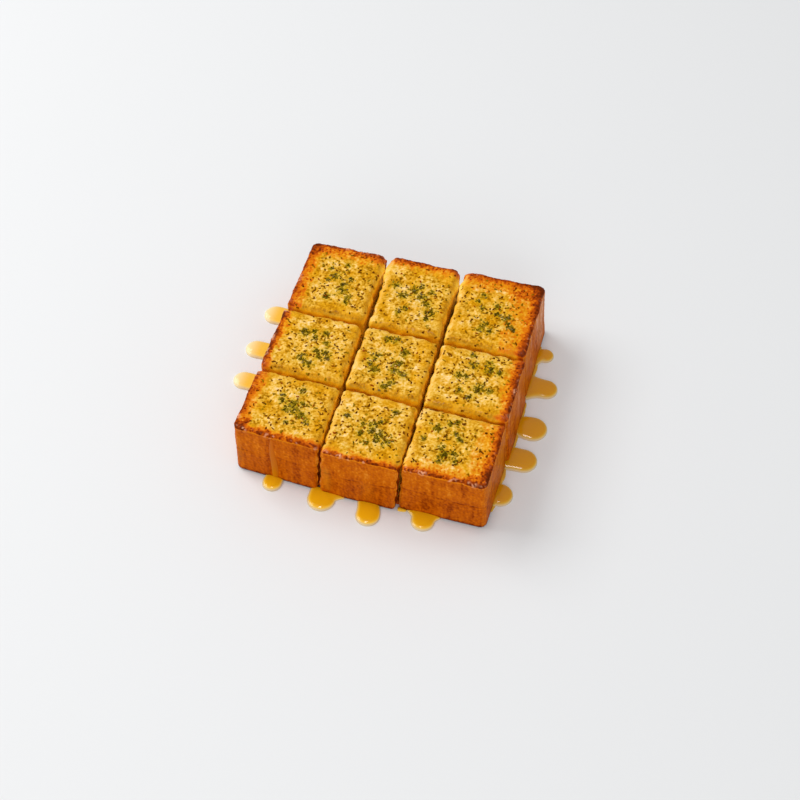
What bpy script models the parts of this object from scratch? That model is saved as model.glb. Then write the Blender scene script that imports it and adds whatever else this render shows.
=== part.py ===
"""Garlic bread: a thick square slab of white loaf, cut three by three into cubes.

The cuts stop just above the bottom crust, so the nine cubes stand on one crust floor and the
slab is one piece. Clumps of dried parsley are baked onto the tops, and one run of honey has
set down the front face. Twelve pools of honey lie round the foot, each a piece of its own.

+X is right, +Y is back, +Z is up. The origin is under the middle of the slab.
"""

import math
import random

import bmesh
import bpy
from mathutils import Matrix, Vector, noise

MM = 0.001

# The slab
HEIGHT = 34.5 * MM          # from the flat underside to the tops of the cubes
FLOOR_TOP = 2.7 * MM        # the bottom crust that the cuts leave whole
FLOOR_INSET = 0.3 * MM      # how far its edge lies behind the faces of the cubes
FLOOR_ROUND = 1.3 * MM      # radius round its edge
FLOOR_CORNER_SEGMENTS = 5
FLOOR_EDGE_SEGMENTS = 2
LEVEL = 0.1 * MM            # an edge whose two ends differ less in height lies level
CUBE_FOOT = 0.3 * MM        # the cubes start this high, round the bottom crust
HALF_SIDE = 64.0 * MM       # half the slab's side, by which places along it are counted

# The slab's four faces. Each has its axis and the way it faces, and then for each cube along it
# the places of that cube's two ends at the top, and of its two ends at the foot, in millimetres
FACES = {
    "left": (0, -1, ((-62.7, -62.7, -63.7, -63.7),) * 3),
    "right": (0, 1, ((63.7, 64.1, 64.6, 65.6), (64.1, 64.1, 66.6, 66.6), (63.5, 63.5, 66.0, 66.0))),
    "front": (1, -1, ((-64.0, -65.1, -64.0, -66.2), (-66.4, -66.6, -67.1, -67.1), (-65.5,) * 4)),
    "back": (1, 1, ((64.6, 64.8, 65.0, 65.2), (65.4, 65.4, 65.8, 65.8), (65.8, 66.2, 66.2, 66.6))),
}

# The knife cuts, in millimetres: the place of each at its two ends, its width at the top at its
# two ends, its width at the floor, and how far its foot leans sideways
COLUMN_CUTS = (
    dict(start=-18.1, end=-20.95, top=(1.5, 3.5), foot=1.5, lean=-1.9),
    dict(start=21.6, end=19.2, top=(1.4, 3.5), foot=1.7, lean=-1.6),
)
ROW_CUTS = (
    dict(start=-24.9, end=-25.6, top=(2.3, 2.3), foot=1.2, lean=0.3),
    dict(start=16.6, end=16.3, top=(2.3, 2.3), foot=1.2, lean=0.3),
)
COLUMNS = ("left", "middle", "right")
ROWS = ("front", "centre", "back")

# How each cube is rounded and roughened
SLAB_CORNER = 3.4 * MM      # radius of the slab's four upright corners
CUBE_CORNER = 1.9 * MM      # radius of the upright edges that the cuts made
SHOULDER = 1.9 * MM         # radius round a top at the slab's own faces
CUT_SHOULDER = 3.3 * MM     # and at the knife cuts
FOOT_ROUND = 0.6 * MM       # radius round the bottom edge
TOP_CELLS = 10              # faces across a top
SIDE_CELLS = 5              # faces up a side
GATHER = 1.5                # draws the rows of faces towards the edges, above 1
RELIEF_START = 3.0 * MM     # the tops' relief begins this far down the shoulder
RELIEF_BAND = 2.0 * MM      # and is full after this much more height
LUMP_SIZE = 4.4 * MM        # the baked crumb's lumps
LUMP_HEIGHT = 0.55 * MM
RIM_SIZE = 4.8 * MM         # the crags of the toasted rim
RIM_HEIGHT = 1.1 * MM
RIM_WIDTH = 3.2 * MM
DIMPLE_SIZE = 11.0 * MM     # the soft hollows of the crust faces
DIMPLE_DEPTH = 0.45 * MM
DIMPLE_FADE = 0.2           # the share of the height, from the foot, over which they set in
SHARP_ANGLE = 50            # degrees; a turn of less between two faces is shaded smooth

# The parsley: where the clumps lie on each cube and how long each is, in millimetres, counted
# from the slab's middle
PARSLEY_CLUMPS = {
    ("left", "back"): (
        (-44.5, 43.5, 4), (-38.5, 38.5, 3.5), (-38, 34.5, 4.5), (-33.5, 30.5, 3), (-44.5, 28.5, 3.5),
        (-40, 52.5, 2.5), (-34, 27.5, 2.5), (-47, 40, 2), (-48, 47.5, 2), (-36, 43, 2)),
    ("middle", "back"): (
        (-12, 45.5, 3.5), (-1.5, 45, 4.5), (1, 48.5, 3), (-6.5, 39.5, 4), (3.5, 41, 4.5),
        (6.5, 37.5, 3.5), (10, 32, 5), (9, 28, 3), (-6, 28, 2.5), (-3, 31.5, 2.5), (7.5, 45.5, 2.5)),
    ("right", "back"): (
        (42.5, 45.5, 3), (49, 39.5, 4.5), (43, 40, 3), (50, 35, 4), (34, 51, 2.5), (32, 46.5, 2.5),
        (38.5, 31.5, 3.5), (37, 28, 3), (42, 28, 2.5), (53, 32.5, 3), (35, 42.5, 2.5)),
    ("left", "centre"): (
        (-47.5, 2.5, 4.5), (-43, 4, 2.5), (-37, 4, 3), (-38, -7.5, 3.5), (-33.5, -7.5, 4),
        (-34.5, -2, 2.5), (-31.5, -11.5, 3.5), (-44, -14, 4), (-40, -16.5, 4), (-41.5, 0, 2.5),
        (-36, -11, 3)),
    ("middle", "centre"): (
        (-5.5, 9.5, 4), (-1, 9.5, 3.5), (4.5, 2.5, 4), (-8.5, -3, 4.5), (-10, -8.5, 3),
        (-7, -11.5, 4), (3.5, -4.5, 4), (3, -9, 4), (7.5, -10.5, 4), (3, -17, 3.5),
        (0.5, -20.5, 3.5)),
    ("right", "centre"): (
        (47, 7.5, 3), (48.5, 4, 4.5), (40, 4.5, 4), (53, 3, 3), (34, -3.5, 3.5), (38, -3.5, 3),
        (46, -9.5, 4.5), (51, -9.5, 3), (38, 10.5, 2.5), (37, -12.5, 2.5), (42.5, -15, 3)),
    ("left", "front"): (
        (-36.5, -34, 3), (-44.5, -42, 3), (-39, -42.5, 4.5), (-37.5, -46.5, 5), (-32.5, -48.5, 4),
        (-34, -41.5, 3), (-29, -51.5, 2.5), (-41.5, -46.5, 2.5), (-45.5, -38.5, 2.5),
        (-38.5, -54, 2)),
    ("middle", "front"): (
        (2, -44.5, 4), (2.5, -48, 3.5), (7, -49.5, 4.5), (11, -52, 4), (1.5, -55, 3),
        (-2.5, -50.5, 3), (-2.5, -45, 2.5), (-11.5, -42, 2.5), (6, -53, 3), (5.5, -41.5, 2.5),
        (10.5, -34, 2.5)),
    ("right", "front"): (
        (32.5, -37.5, 4), (38, -33.5, 3), (42, -39, 3), (44.5, -42, 3), (37.5, -48.5, 3),
        (40, -52, 4.5), (43.5, -50.5, 3), (45.5, -54.5, 2.5), (38, -56, 2.5), (27.5, -45, 2.5),
        (41, -31.5, 2.5)),
}
FLAKE_SLENDER = 0.75        # width to length
FLAKE_HIGH = 0.66 * MM      # half its thickness
FLAKE_LIFT = 0.1 * MM       # how far its middle lies above the crumb
FLAKE_CRUMPLE = 0.8         # the least share of its radius that a point of it keeps

# The run of honey down the front face of the left cube
RUN_AT = -42.6 * MM
RUN_TOP = 32.0 * MM
RUN_FOOT = 2.4 * MM
RUN_WIDTH = 4.2 * MM
RUN_PROUD = 0.6 * MM
RUN_THIN = 0.55             # its width at the top, as a share of that at the foot
RUN_SIDES = 10
RUN_RINGS = 10

# The pools of honey, by side, each in millimetres: place of the tip along that side, reach
# from the wall, width of the round head, and how far the neck spreads along the wall, towards
# the lower and towards the higher coordinate
POOL_THICK = 1.9 * MM
POOL_CLEARANCE = 0.35 * MM
POOLS = {
    "left": ((36.4, 19.4, 12.6, 5.5, 5.0), (10.8, 21.0, 11.6, 5.0, 5.0), (-11.0, 20.1, 11.3, 4.5, 5.0)),
    "front": ((-43.3, 7.4, 10.0, 4.8, 5.0), (-17.0, 10.2, 14.2, 7.0, 11.0),
              (7.6, 12.2, 12.2, 7.2, 4.4), (34.2, 9.3, 11.8, 9.2, 8.0)),
    "right": ((-44.4, 7.7, 13.2, 7.8, 6.8), (-21.3, 13.4, 14.2, 7.5, 7.2), (-0.7, 14.1, 15.0, 6.4, 6.6),
              (26.2, 14.4, 12.4, 9.4, 7.4), (48.2, 7.8, 9.2, 9.0, 3.8)),
}
POOL_SIDES = 12
POOL_RINGS = 11
POLE = 1e-6                 # a ball's point this near its axis is one of its two poles

SEED = 7


def lerp(a, b, t):
    return a + (b - a) * t


def smooth(t):
    t = min(max(t, 0.0), 1.0)
    return t * t * (3.0 - 2.0 * t)


def along(value, low, high):
    return (value - low) / (high - low)


# ---------------------------------------------------------------- scene and materials

def clear_scene():
    for thing in list(bpy.data.objects):
        bpy.data.objects.remove(thing, do_unlink=True)


def new_collection(name):
    collection = bpy.data.collections.new(name)
    bpy.context.scene.collection.children.link(collection)
    return collection


def material(name, colour, roughness):
    made = bpy.data.materials.new(name)
    made.use_nodes = True
    shader = made.node_tree.nodes["Principled BSDF"]
    shader.inputs["Base Color"].default_value = (*colour, 1.0)
    shader.inputs["Roughness"].default_value = roughness
    made.diffuse_color = (*colour, 1.0)
    return made


def object_of(bm, name, collection, finish):
    """Turns a bmesh into an object, with round stretches shaded smooth."""
    bmesh.ops.recalc_face_normals(bm, faces=bm.faces)
    mesh = bpy.data.meshes.new(name)
    bm.to_mesh(mesh)
    bm.free()
    mesh.shade_smooth()
    mesh.set_sharp_from_angle(angle=math.radians(SHARP_ANGLE))
    mesh.materials.append(finish)
    made = bpy.data.objects.new(name, mesh)
    collection.objects.link(made)
    return made


# ---------------------------------------------------------------- the cubes

def face_at(side, number, value, t):
    """Where the face of one cube lies, at a place along the side and at the height t, from 0 at
    the foot to 1 at the top."""
    top_start, top_end, foot_start, foot_end = FACES[side][2][number]
    share = min(max(len(ROWS) * along(value, -HALF_SIDE, HALF_SIDE) - number, 0.0), 1.0)
    return lerp(lerp(foot_start, foot_end, share), lerp(top_start, top_end, share), t) * MM


def cut_wall(cut, value, t, way):
    """Where a wall of a knife cut lies, at a place along it and the height t."""
    share = along(value, -HALF_SIDE, HALF_SIDE)
    middle = lerp(cut["start"], cut["end"], share) + cut["lean"] * (1.0 - t)
    width = lerp(cut["foot"], lerp(*cut["top"], share), t)
    return (middle + way * width / 2) * MM


def x_limits(column, row, y, t):
    """The two sides of a cube at depth y and height t."""
    low = cut_wall(COLUMN_CUTS[column - 1], y, t, 1) if column > 0 else face_at("left", row, y, t)
    if column < len(COLUMNS) - 1:
        return low, cut_wall(COLUMN_CUTS[column], y, t, -1)
    return low, face_at("right", row, y, t)


def y_limits(column, row, x, t):
    """The front and back of a cube at place x and height t."""
    low = cut_wall(ROW_CUTS[row - 1], x, t, 1) if row > 0 else face_at("front", column, x, t)
    if row < len(ROWS) - 1:
        return low, cut_wall(ROW_CUTS[row], x, t, -1)
    return low, face_at("back", column, x, t)


def outer_sides(column, row):
    """The sides of this cube that are faces of the slab."""
    found = {"left": column == 0, "right": column == len(COLUMNS) - 1,
             "front": row == 0, "back": row == len(ROWS) - 1}
    return [side for side, outer in found.items() if outer]


def rounded(a, b, r, half):
    """A point on a rectangle of half sizes `half`, its corner rounded to the radius r, and the
    way that the outline faces there."""
    inner = Vector((max(min(a, half[0] - r), r - half[0]), max(min(b, half[1] - r), r - half[1])))
    off = Vector((a, b)) - inner
    return (inner + off.normalized() * r if off.length > r else Vector((a, b))), off.normalized()


def corner_radius(column, row, a, b):
    """The slab's own corners are rounder than the edges that the knife left."""
    at_side = (column == 0 and a < 0) or (column == len(COLUMNS) - 1 and a > 0)
    at_end = (row == 0 and b < 0) or (row == len(ROWS) - 1 and b > 0)
    return SLAB_CORNER if at_side and at_end else CUBE_CORNER


def shoulder_radius(column, row, away):
    """The radius round the top where its outline faces `away`: broad at the knife cuts."""
    outer = 0.0
    for side in outer_sides(column, row):
        axis, way, _ = FACES[side]
        outer += max(away[axis] * way, 0.0) ** 2
    return lerp(CUT_SHOULDER, SHOULDER, smooth(outer))


def rim_share(column, row, point):
    """1 at a toasted outer edge of the slab, falling to 0 a few millimetres inside."""
    off = []
    for side in outer_sides(column, row):
        axis, way, _ = FACES[side]
        number = column if axis else row
        off.append((face_at(side, number, point[1 - axis], 1.0) - point[axis]) * way)
    return 1.0 - smooth(min(off) / RIM_WIDTH) if off else 0.0


def lump(x, y):
    """The height that the baked crumb adds at a place on the tops."""
    return LUMP_HEIGHT * noise.noise(Vector((x, y, 0.0)) / LUMP_SIZE)


def cube_point(column, row, a, b, c):
    """Carries a point of the cube |a|, |b|, |c| <= 1 to its place on this cube of bread."""
    middle_x = sum(x_limits(column, row, 0.0, 1.0)) / 2
    middle_y = sum(y_limits(column, row, 0.0, 1.0)) / 2
    low_x, high_x = x_limits(column, row, middle_y, 1.0)
    low_y, high_y = y_limits(column, row, middle_x, 1.0)
    half = ((high_x - low_x) / 2, (high_y - low_y) / 2)
    reach = (half[0] + half[1]) / 2

    # The plan: the ring through this point, with its corners rounded
    ring = max(abs(a), abs(b))
    outline, away = Vector((0.0, 0.0)), Vector((0.0, 0.0))
    if ring > 0.0:
        outline, away = rounded(
            a / ring * half[0], b / ring * half[1], corner_radius(column, row, a, b), half
        )

    # The profile: from the middle of the top over the shoulder, down the side and under
    rise = HEIGHT - CUBE_FOOT
    out, z = ring * reach, (c + 1.0) / 2 * rise
    shoulder = shoulder_radius(column, row, away)
    edge = shoulder if c > 0.0 else FOOT_ROUND
    inner = Vector((min(out, reach - edge), min(max(z, FOOT_ROUND), rise - shoulder)))
    off = Vector((out, z)) - inner
    if off.length > edge:
        out, z = inner + off.normalized() * edge

    # The place: stretched between the cuts and faces round this cube, at this height
    share_x = outline.x * out / reach / half[0]
    share_y = outline.y * out / reach / half[1]
    t = z / rise
    guess_y = lerp(*y_limits(column, row, middle_x, t), (share_y + 1.0) / 2)
    x = lerp(*x_limits(column, row, guess_y, t), (share_x + 1.0) / 2)
    y = lerp(*y_limits(column, row, x, t), (share_y + 1.0) / 2)
    point = Vector((x, y, z + CUBE_FOOT))

    # The relief: lumps on the top, crags on the toasted rim, soft hollows in the faces
    top_share = smooth((z - rise + RELIEF_START) / RELIEF_BAND)
    rim = rim_share(column, row, point) * top_share
    crag = noise.noise(point / RIM_SIZE)
    point.z += top_share * (1.0 - rim) * lump(x, y)
    point.z += rim * RIM_HEIGHT * crag
    hollow = DIMPLE_DEPTH * (0.5 + 0.5 * noise.noise(point / DIMPLE_SIZE)) * smooth(t / DIMPLE_FADE)
    hollow = max(hollow, 0.0) + rim * RIM_HEIGHT * max(-crag, 0.0)
    if ring > 0.0 and 0.0 < t < 1.0:
        inward = Vector((outline.x / half[0], outline.y / half[1], 0.0))
        point -= inward / max(abs(inward.x), abs(inward.y)) * hollow
    return point


def gathered(value):
    """Draws a place between -1 and 1 towards the nearer end, so that edges get more faces."""
    return math.copysign(1.0 - (1.0 - abs(value)) ** GATHER, value)


def subdivided_cube(cells_x, cells_y, cells_z):
    """A cube of |x|, |y|, |z| <= 1 whose faces are split into cells."""
    bm = bmesh.new()
    bmesh.ops.create_cube(bm, size=2.0)
    for axis, cells in enumerate((cells_x, cells_y, cells_z)):
        edges = [
            edge for edge in bm.edges
            if abs(edge.verts[0].co[axis] - edge.verts[1].co[axis]) > 1.0
        ]
        bmesh.ops.subdivide_edges(bm, edges=edges, cuts=cells - 1, use_grid_fill=True)
    return bm


def bread_cube(column, row, collection, finish):
    bm = subdivided_cube(TOP_CELLS, TOP_CELLS, SIDE_CELLS)
    for vert in bm.verts:
        a, b, c = (gathered(value) for value in vert.co)
        vert.co = cube_point(column, row, a, b, c)
    return object_of(bm, f"cube_{COLUMNS[column]}_{ROWS[row]}", collection, finish)


def least_foot(side):
    """The place of the foot where that face of the slab comes out the least."""
    _, way, cubes = FACES[side]
    return min((foot for cube in cubes for foot in cube[2:]), key=lambda foot: way * foot) * MM


def crust_floor(name, collection, finish):
    """The bottom crust: flat below, rounded at its edge, and whole under all the cuts."""
    low = Vector((least_foot("left") + FLOOR_INSET, least_foot("front") + FLOOR_INSET, 0.0))
    high = Vector((least_foot("right") - FLOOR_INSET, least_foot("back") - FLOOR_INSET, FLOOR_TOP))
    bm = bmesh.new()
    bmesh.ops.create_cube(
        bm, size=1.0, matrix=Matrix.Translation((low + high) / 2) @ Matrix.Diagonal((*(high - low), 1.0))
    )
    upright = [edge for edge in bm.edges if edge.verts[0].co.xy == edge.verts[1].co.xy]
    bmesh.ops.bevel(
        bm, geom=upright, offset=SLAB_CORNER, segments=FLOOR_CORNER_SEGMENTS, profile=0.5,
        affect="EDGES", clamp_overlap=True,
    )
    rim = [edge for edge in bm.edges if abs(edge.verts[0].co.z - edge.verts[1].co.z) < LEVEL]
    bmesh.ops.bevel(
        bm, geom=rim, offset=FLOOR_ROUND, segments=FLOOR_EDGE_SEGMENTS, profile=0.5,
        affect="EDGES", clamp_overlap=True,
    )
    return object_of(bm, name, collection, finish)


# ---------------------------------------------------------------- what lies on the bread

def parsley_flake(name, place, size, rng, collection, finish):
    """A crumpled leaf clump: a small faceted ball, flattened, jittered and turned."""
    bm = bmesh.new()
    bmesh.ops.create_icosphere(bm, subdivisions=1, radius=1.0)
    shape = Matrix.Diagonal((size, size * FLAKE_SLENDER, FLAKE_HIGH, 1.0))
    turn = Matrix.Rotation(rng.uniform(0.0, math.tau), 4, "Z")
    for vert in bm.verts:
        vert.co *= rng.uniform(FLAKE_CRUMPLE, 1.0)
    bmesh.ops.transform(bm, matrix=Matrix.Translation(place) @ turn @ shape, verts=bm.verts)
    return object_of(bm, name, collection, finish)


def parsley(collection, finish):
    """The clumps on each top, set at the crumb's own height."""
    rng = random.Random(SEED)
    for (column, row), clumps in PARSLEY_CLUMPS.items():
        for number, (x, y, length) in enumerate(clumps):
            place = Vector((x * MM, y * MM, HEIGHT + FLAKE_LIFT))
            place.z += lump(place.x, place.y)
            parsley_flake(
                f"flake_{column}_{row}_{number}", place, length * MM / 2, rng, collection, finish
            )


def honey_run(name, collection, finish):
    """The run down the front face: a long drop, thin at the top and full at its foot."""
    bm = bmesh.new()
    bmesh.ops.create_uvsphere(bm, u_segments=RUN_SIDES, v_segments=RUN_RINGS, radius=1.0)
    for vert in bm.verts:
        fall = (1.0 - vert.co.z) / 2
        fullness = lerp(RUN_THIN, 1.0, fall)
        z = lerp(RUN_TOP, RUN_FOOT, fall)
        face = face_at("front", 0, RUN_AT, z / HEIGHT)
        vert.co = Vector((
            RUN_AT + vert.co.x * RUN_WIDTH / 2 * fullness,
            face + vert.co.y * (RUN_PROUD + DIMPLE_DEPTH) * fullness + DIMPLE_DEPTH * 0.5,
            z,
        ))
    return object_of(bm, name, collection, finish)


def build_bread(collection, crust):
    """One Boolean union joins the crust floor with the cubes, the parsley and the run."""
    joined = new_collection("joined_to_the_bread")
    for column in range(len(COLUMNS)):
        for row in range(len(ROWS)):
            bread_cube(column, row, joined, crust)
    parsley(joined, crust)
    honey_run("honey_run", joined, crust)

    bread = crust_floor("bread", collection, crust)
    union = bread.modifiers.new("union", "BOOLEAN")
    union.operation = "UNION"
    union.operand_type = "COLLECTION"
    union.collection = joined
    union.solver = "EXACT"
    bpy.context.view_layer.update()
    graph = bpy.context.evaluated_depsgraph_get()
    whole = bpy.data.meshes.new_from_object(bread.evaluated_get(graph))
    bread.modifiers.clear()
    bread.data = whole
    for helper in list(joined.objects):
        bpy.data.objects.remove(helper, do_unlink=True)
    bpy.data.collections.remove(joined)
    return bread


# ---------------------------------------------------------------- the honey pools

def pool_half_width(t, reach, head, neck):
    """How far a side of the pool lies from its middle line, at t from the wall: the round
    head, and behind the head's middle a curve that swings out or in to the neck at the wall."""
    centre = reach - head / 2
    if t >= centre:
        return math.sqrt(max((head / 2) ** 2 - (t - centre) ** 2, 0.0))
    return lerp(head / 2, neck, min((centre - t) / centre, 1.0) ** 2)


def pool_wall(side, tip, neck_low, neck_high):
    """The place of the cube's foot that a pool comes from, where it comes out the most."""
    axis, way, _ = FACES[side]
    cuts = COLUMN_CUTS if axis else ROW_CUTS
    number = sum(tip > (cut["start"] + cut["end"]) / 2 * MM for cut in cuts)
    feet = [face_at(side, number, value, 0.0) for value in (tip - neck_low, tip + neck_high)]
    return max(feet, key=lambda foot: way * foot)


def honey_pool(name, side, tip, reach, head, neck_low, neck_high, collection, finish):
    """A ball drawn out into a tongue along +Y, halved at the surface it lies on and cut off
    square where it meets the bread."""
    axis, way, _ = FACES[side]
    wall = pool_wall(side, tip, neck_low, neck_high) + way * POOL_CLEARANCE
    place = Vector((tip, wall, 0.0) if axis else (wall, tip, 0.0))
    turn = {"front": math.pi, "left": math.pi / 2, "right": -math.pi / 2}[side]
    mirrored = side != "left"
    bm = bmesh.new()
    bmesh.ops.create_uvsphere(
        bm, u_segments=POOL_SIDES, v_segments=POOL_RINGS, radius=1.0,
        matrix=Matrix.Rotation(math.radians(90), 4, "X"),
    )
    for vert in bm.verts:
        ring = math.hypot(vert.co.x, vert.co.z)
        share_x, share_z = (vert.co.x / ring, vert.co.z / ring) if ring > POLE else (0.0, 0.0)
        t = lerp(-head / 2, reach, (vert.co.y + 1.0) / 2)
        neck = neck_high if (share_x > 0.0) != mirrored else neck_low
        width = pool_half_width(t, reach, head, neck)
        fullness = math.sqrt(pool_half_width(t, reach, head, head / 2) / (head / 2))
        vert.co = Vector((share_x * width, t, share_z * POOL_THICK * fullness))
    for away in (Vector((0.0, 0.0, -1.0)), Vector((0.0, -1.0, 0.0))):
        whole = list(bm.verts) + list(bm.edges) + list(bm.faces)
        bmesh.ops.bisect_plane(bm, geom=whole, plane_co=(0.0, 0.0, 0.0), plane_no=away, clear_outer=True)
        bmesh.ops.holes_fill(bm, edges=[edge for edge in bm.edges if edge.is_boundary])
    pool = object_of(bm, name, collection, finish)
    pool.location = place
    pool.rotation_euler = (0.0, 0.0, turn)
    return pool


def build_pools(collection, honey):
    for side, pools in POOLS.items():
        for number, sizes in enumerate(pools, start=1):
            honey_pool(f"honey_{side}_{number}", side, *(size * MM for size in sizes), collection, honey)


def main():
    clear_scene()
    collection = new_collection("garlic_bread")
    crust = material("toasted_bread", (0.56, 0.25, 0.045), 0.6)
    honey = material("honey", (0.75, 0.40, 0.03), 0.12)
    build_bread(collection, crust)
    build_pools(collection, honey)


main()
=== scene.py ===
"""Garlic bread: the looks of a thick slab of white loaf, cut into nine cubes and baked with honey.

Every length here is in millimetres until a mesh is made, and then it is turned to metres. Only
the lights and the floor round the bread are given in metres.
+X is right, +Y is back, +Z is up, and the origin is under the middle of the slab.
"""

import itertools
import math

import bpy
import numpy as np
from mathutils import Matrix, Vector


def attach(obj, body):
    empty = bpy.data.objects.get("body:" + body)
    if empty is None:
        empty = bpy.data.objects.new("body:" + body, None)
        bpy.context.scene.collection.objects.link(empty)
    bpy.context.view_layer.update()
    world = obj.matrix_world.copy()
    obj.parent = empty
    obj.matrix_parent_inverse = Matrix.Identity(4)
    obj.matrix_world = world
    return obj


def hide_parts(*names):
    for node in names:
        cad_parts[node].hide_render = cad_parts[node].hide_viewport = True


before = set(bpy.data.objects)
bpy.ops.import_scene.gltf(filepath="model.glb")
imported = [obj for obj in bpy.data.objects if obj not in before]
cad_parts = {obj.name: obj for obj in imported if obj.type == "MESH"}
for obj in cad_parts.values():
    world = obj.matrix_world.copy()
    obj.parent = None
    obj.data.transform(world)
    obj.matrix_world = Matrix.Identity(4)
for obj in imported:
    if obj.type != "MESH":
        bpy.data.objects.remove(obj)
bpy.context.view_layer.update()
MM = 0.001

# ---------------------------------------------------------------- sizes, as the solids have them

HEIGHT = 34.5               # from the flat underside to the tops of the cubes
FLOOR_TOP = 2.7             # the bottom crust that the cuts leave whole
FLOOR_INSET = 0.3
FLOOR_ROUND = 1.3
CUBE_FOOT = 0.3             # the cubes start this high, round the bottom crust
HALF_SIDE = 64.0            # half the slab's side, by which places along it are counted
SLAB_CORNER = 3.4           # radius of the slab's four upright corners
CUBE_CORNER = 1.9           # radius of the upright edges that the knife made
SHOULDER = 1.9              # radius round a top at the slab's own faces
CUT_SHOULDER = 3.3          # and at the knife cuts
FOOT_ROUND = 0.6            # radius round the bottom edge

# The slab's four faces. Each has its axis and the way it faces, and then for each cube along it
# the places of that cube's two ends at the top, and of its two ends at the foot
FACES = {
    "left": (0, -1, ((-62.7, -62.7, -63.7, -63.7),) * 3),
    "right": (0, 1, ((63.7, 64.1, 64.6, 65.6), (64.1, 64.1, 66.6, 66.6), (63.5, 63.5, 66.0, 66.0))),
    "front": (1, -1, ((-64.0, -65.1, -64.0, -66.2), (-66.4, -66.6, -67.1, -67.1), (-65.5,) * 4)),
    "back": (1, 1, ((64.6, 64.8, 65.0, 65.2), (65.4, 65.4, 65.8, 65.8), (65.8, 66.2, 66.2, 66.6))),
}

# The knife cuts: the place of each at its two ends, its width at the top at its
# two ends, its width at the floor, and how far its foot leans sideways
COLUMN_CUTS = (
    dict(start=-18.1, end=-20.95, top=(1.5, 3.5), foot=1.5, lean=-1.9),
    dict(start=21.6, end=19.2, top=(1.4, 3.5), foot=1.7, lean=-1.6),
)
ROW_CUTS = (
    dict(start=-24.9, end=-25.6, top=(2.3, 2.3), foot=1.2, lean=0.3),
    dict(start=16.6, end=16.3, top=(2.3, 2.3), foot=1.2, lean=0.3),
)
COLUMNS = ("left", "middle", "right")
ROWS = ("front", "centre", "back")

# ---------------------------------------------------------------- how finely the bread is made

TOP_CELLS = 128             # faces across a top, about 0.3 mm each
SHOULDER_ROWS = 9
SIDE_ROWS = 64
FOOT_ROWS = 3
FLOOR_SIDES = 160           # points round the bottom crust, and over its rounded edge
FLOOR_BENDS = 13
SKIN_UP = 0.35              # toppings lie where the skin faces up at least this much


# ---------------------------------------------------------------- small maths

NOISE_GAIN = 1.7            # brings the soft noise to a range of about -1 to 1


def lerp(a, b, t):
    """From a at t = 0 to b at t = 1, on a straight line."""
    return a + (b - a) * t


def smooth(t):
    """0 below 0, 1 above 1, and an S-curve between."""
    t = np.clip(t, 0.0, 1.0)
    return t * t * (3.0 - 2.0 * t)


def rise(value, start, width):
    """0 up to `start`, and along an S-curve to 1 at `width` beyond it."""
    return smooth((value - start) / width)


def fall(value, end, width):
    """0 from `end` on, and along an S-curve from 1 at `width` before it."""
    return smooth((end - value) / width)


def bell(distance, width):
    """1 at no distance, falling off like a bell over `width`."""
    return np.exp(-(distance / width) ** 2)


def cell_random(grid, salt):
    """One fixed random number from 0 to 1 for each cell of a grid: its three whole numbers are
    multiplied by large primes, joined bit by bit and stirred."""
    whole = grid.astype(np.int64).astype(np.uint32)
    mixed = whole[..., 0] * np.uint32(73856093)
    mixed ^= whole[..., 1] * np.uint32(19349663)
    mixed ^= whole[..., 2] * np.uint32(83492791)
    mixed ^= np.uint32((salt * 2654435761) % 2 ** 32)
    mixed ^= mixed >> np.uint32(15)
    mixed *= np.uint32(0x2C1B3C6D)
    mixed ^= mixed >> np.uint32(12)
    mixed *= np.uint32(0x297A2D39)
    mixed ^= mixed >> np.uint32(15)
    return mixed / 2.0 ** 32


def rolling(points, size, salt=0):
    """Soft noise from about -1 to 1 with hills of about `size`: every corner of a grid has a
    slope of its own, and a point blends the slopes of the eight corners round it."""
    scaled = points / size
    cell = np.floor(scaled)
    inside = scaled - cell
    ease = inside ** 3 * (inside * (inside * 6.0 - 15.0) + 10.0)
    total = np.zeros(points.shape[:-1])
    for corner in itertools.product((0, 1), repeat=3):
        at = cell + corner
        height = sum(
            (2.0 * cell_random(at, salt + 101 * axis) - 1.0) * (inside[..., axis] - corner[axis])
            for axis in range(3)
        )
        weight = np.prod(np.where(corner, ease, 1.0 - ease), axis=-1)
        total += weight * height
    return NOISE_GAIN * total


def cells(points, size, salt=0):
    """Cell noise: each cell of a grid holds one centre at a random place. Gives the distances
    to the nearest and the second nearest centre, in cells, and a random number of the nearest."""
    scaled = points / size
    cell = np.floor(scaled)
    near = np.full(points.shape[:-1], 9.0)
    second = near.copy()
    tag = np.zeros(points.shape[:-1])
    for step in itertools.product((-1, 0, 1), repeat=3):
        at = cell + step
        centre = np.stack([cell_random(at, salt + 211 * axis) for axis in range(3)], axis=-1)
        gap = np.linalg.norm(at + centre - scaled, axis=-1)
        closer = gap < near
        second = np.where(closer, near, np.minimum(second, gap))
        tag = np.where(closer, cell_random(at, salt + 7), tag)
        near = np.where(closer, gap, near)
    return near, second, tag


def warped(points, size, amount, salt):
    """The points, each pushed aside by up to `amount` in soft drifts of about `size`."""
    push = np.stack([rolling(points, size, salt + axis) for axis in range(3)], axis=-1)
    return points + amount * push


# ---------------------------------------------------------------- meshes and objects

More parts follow.
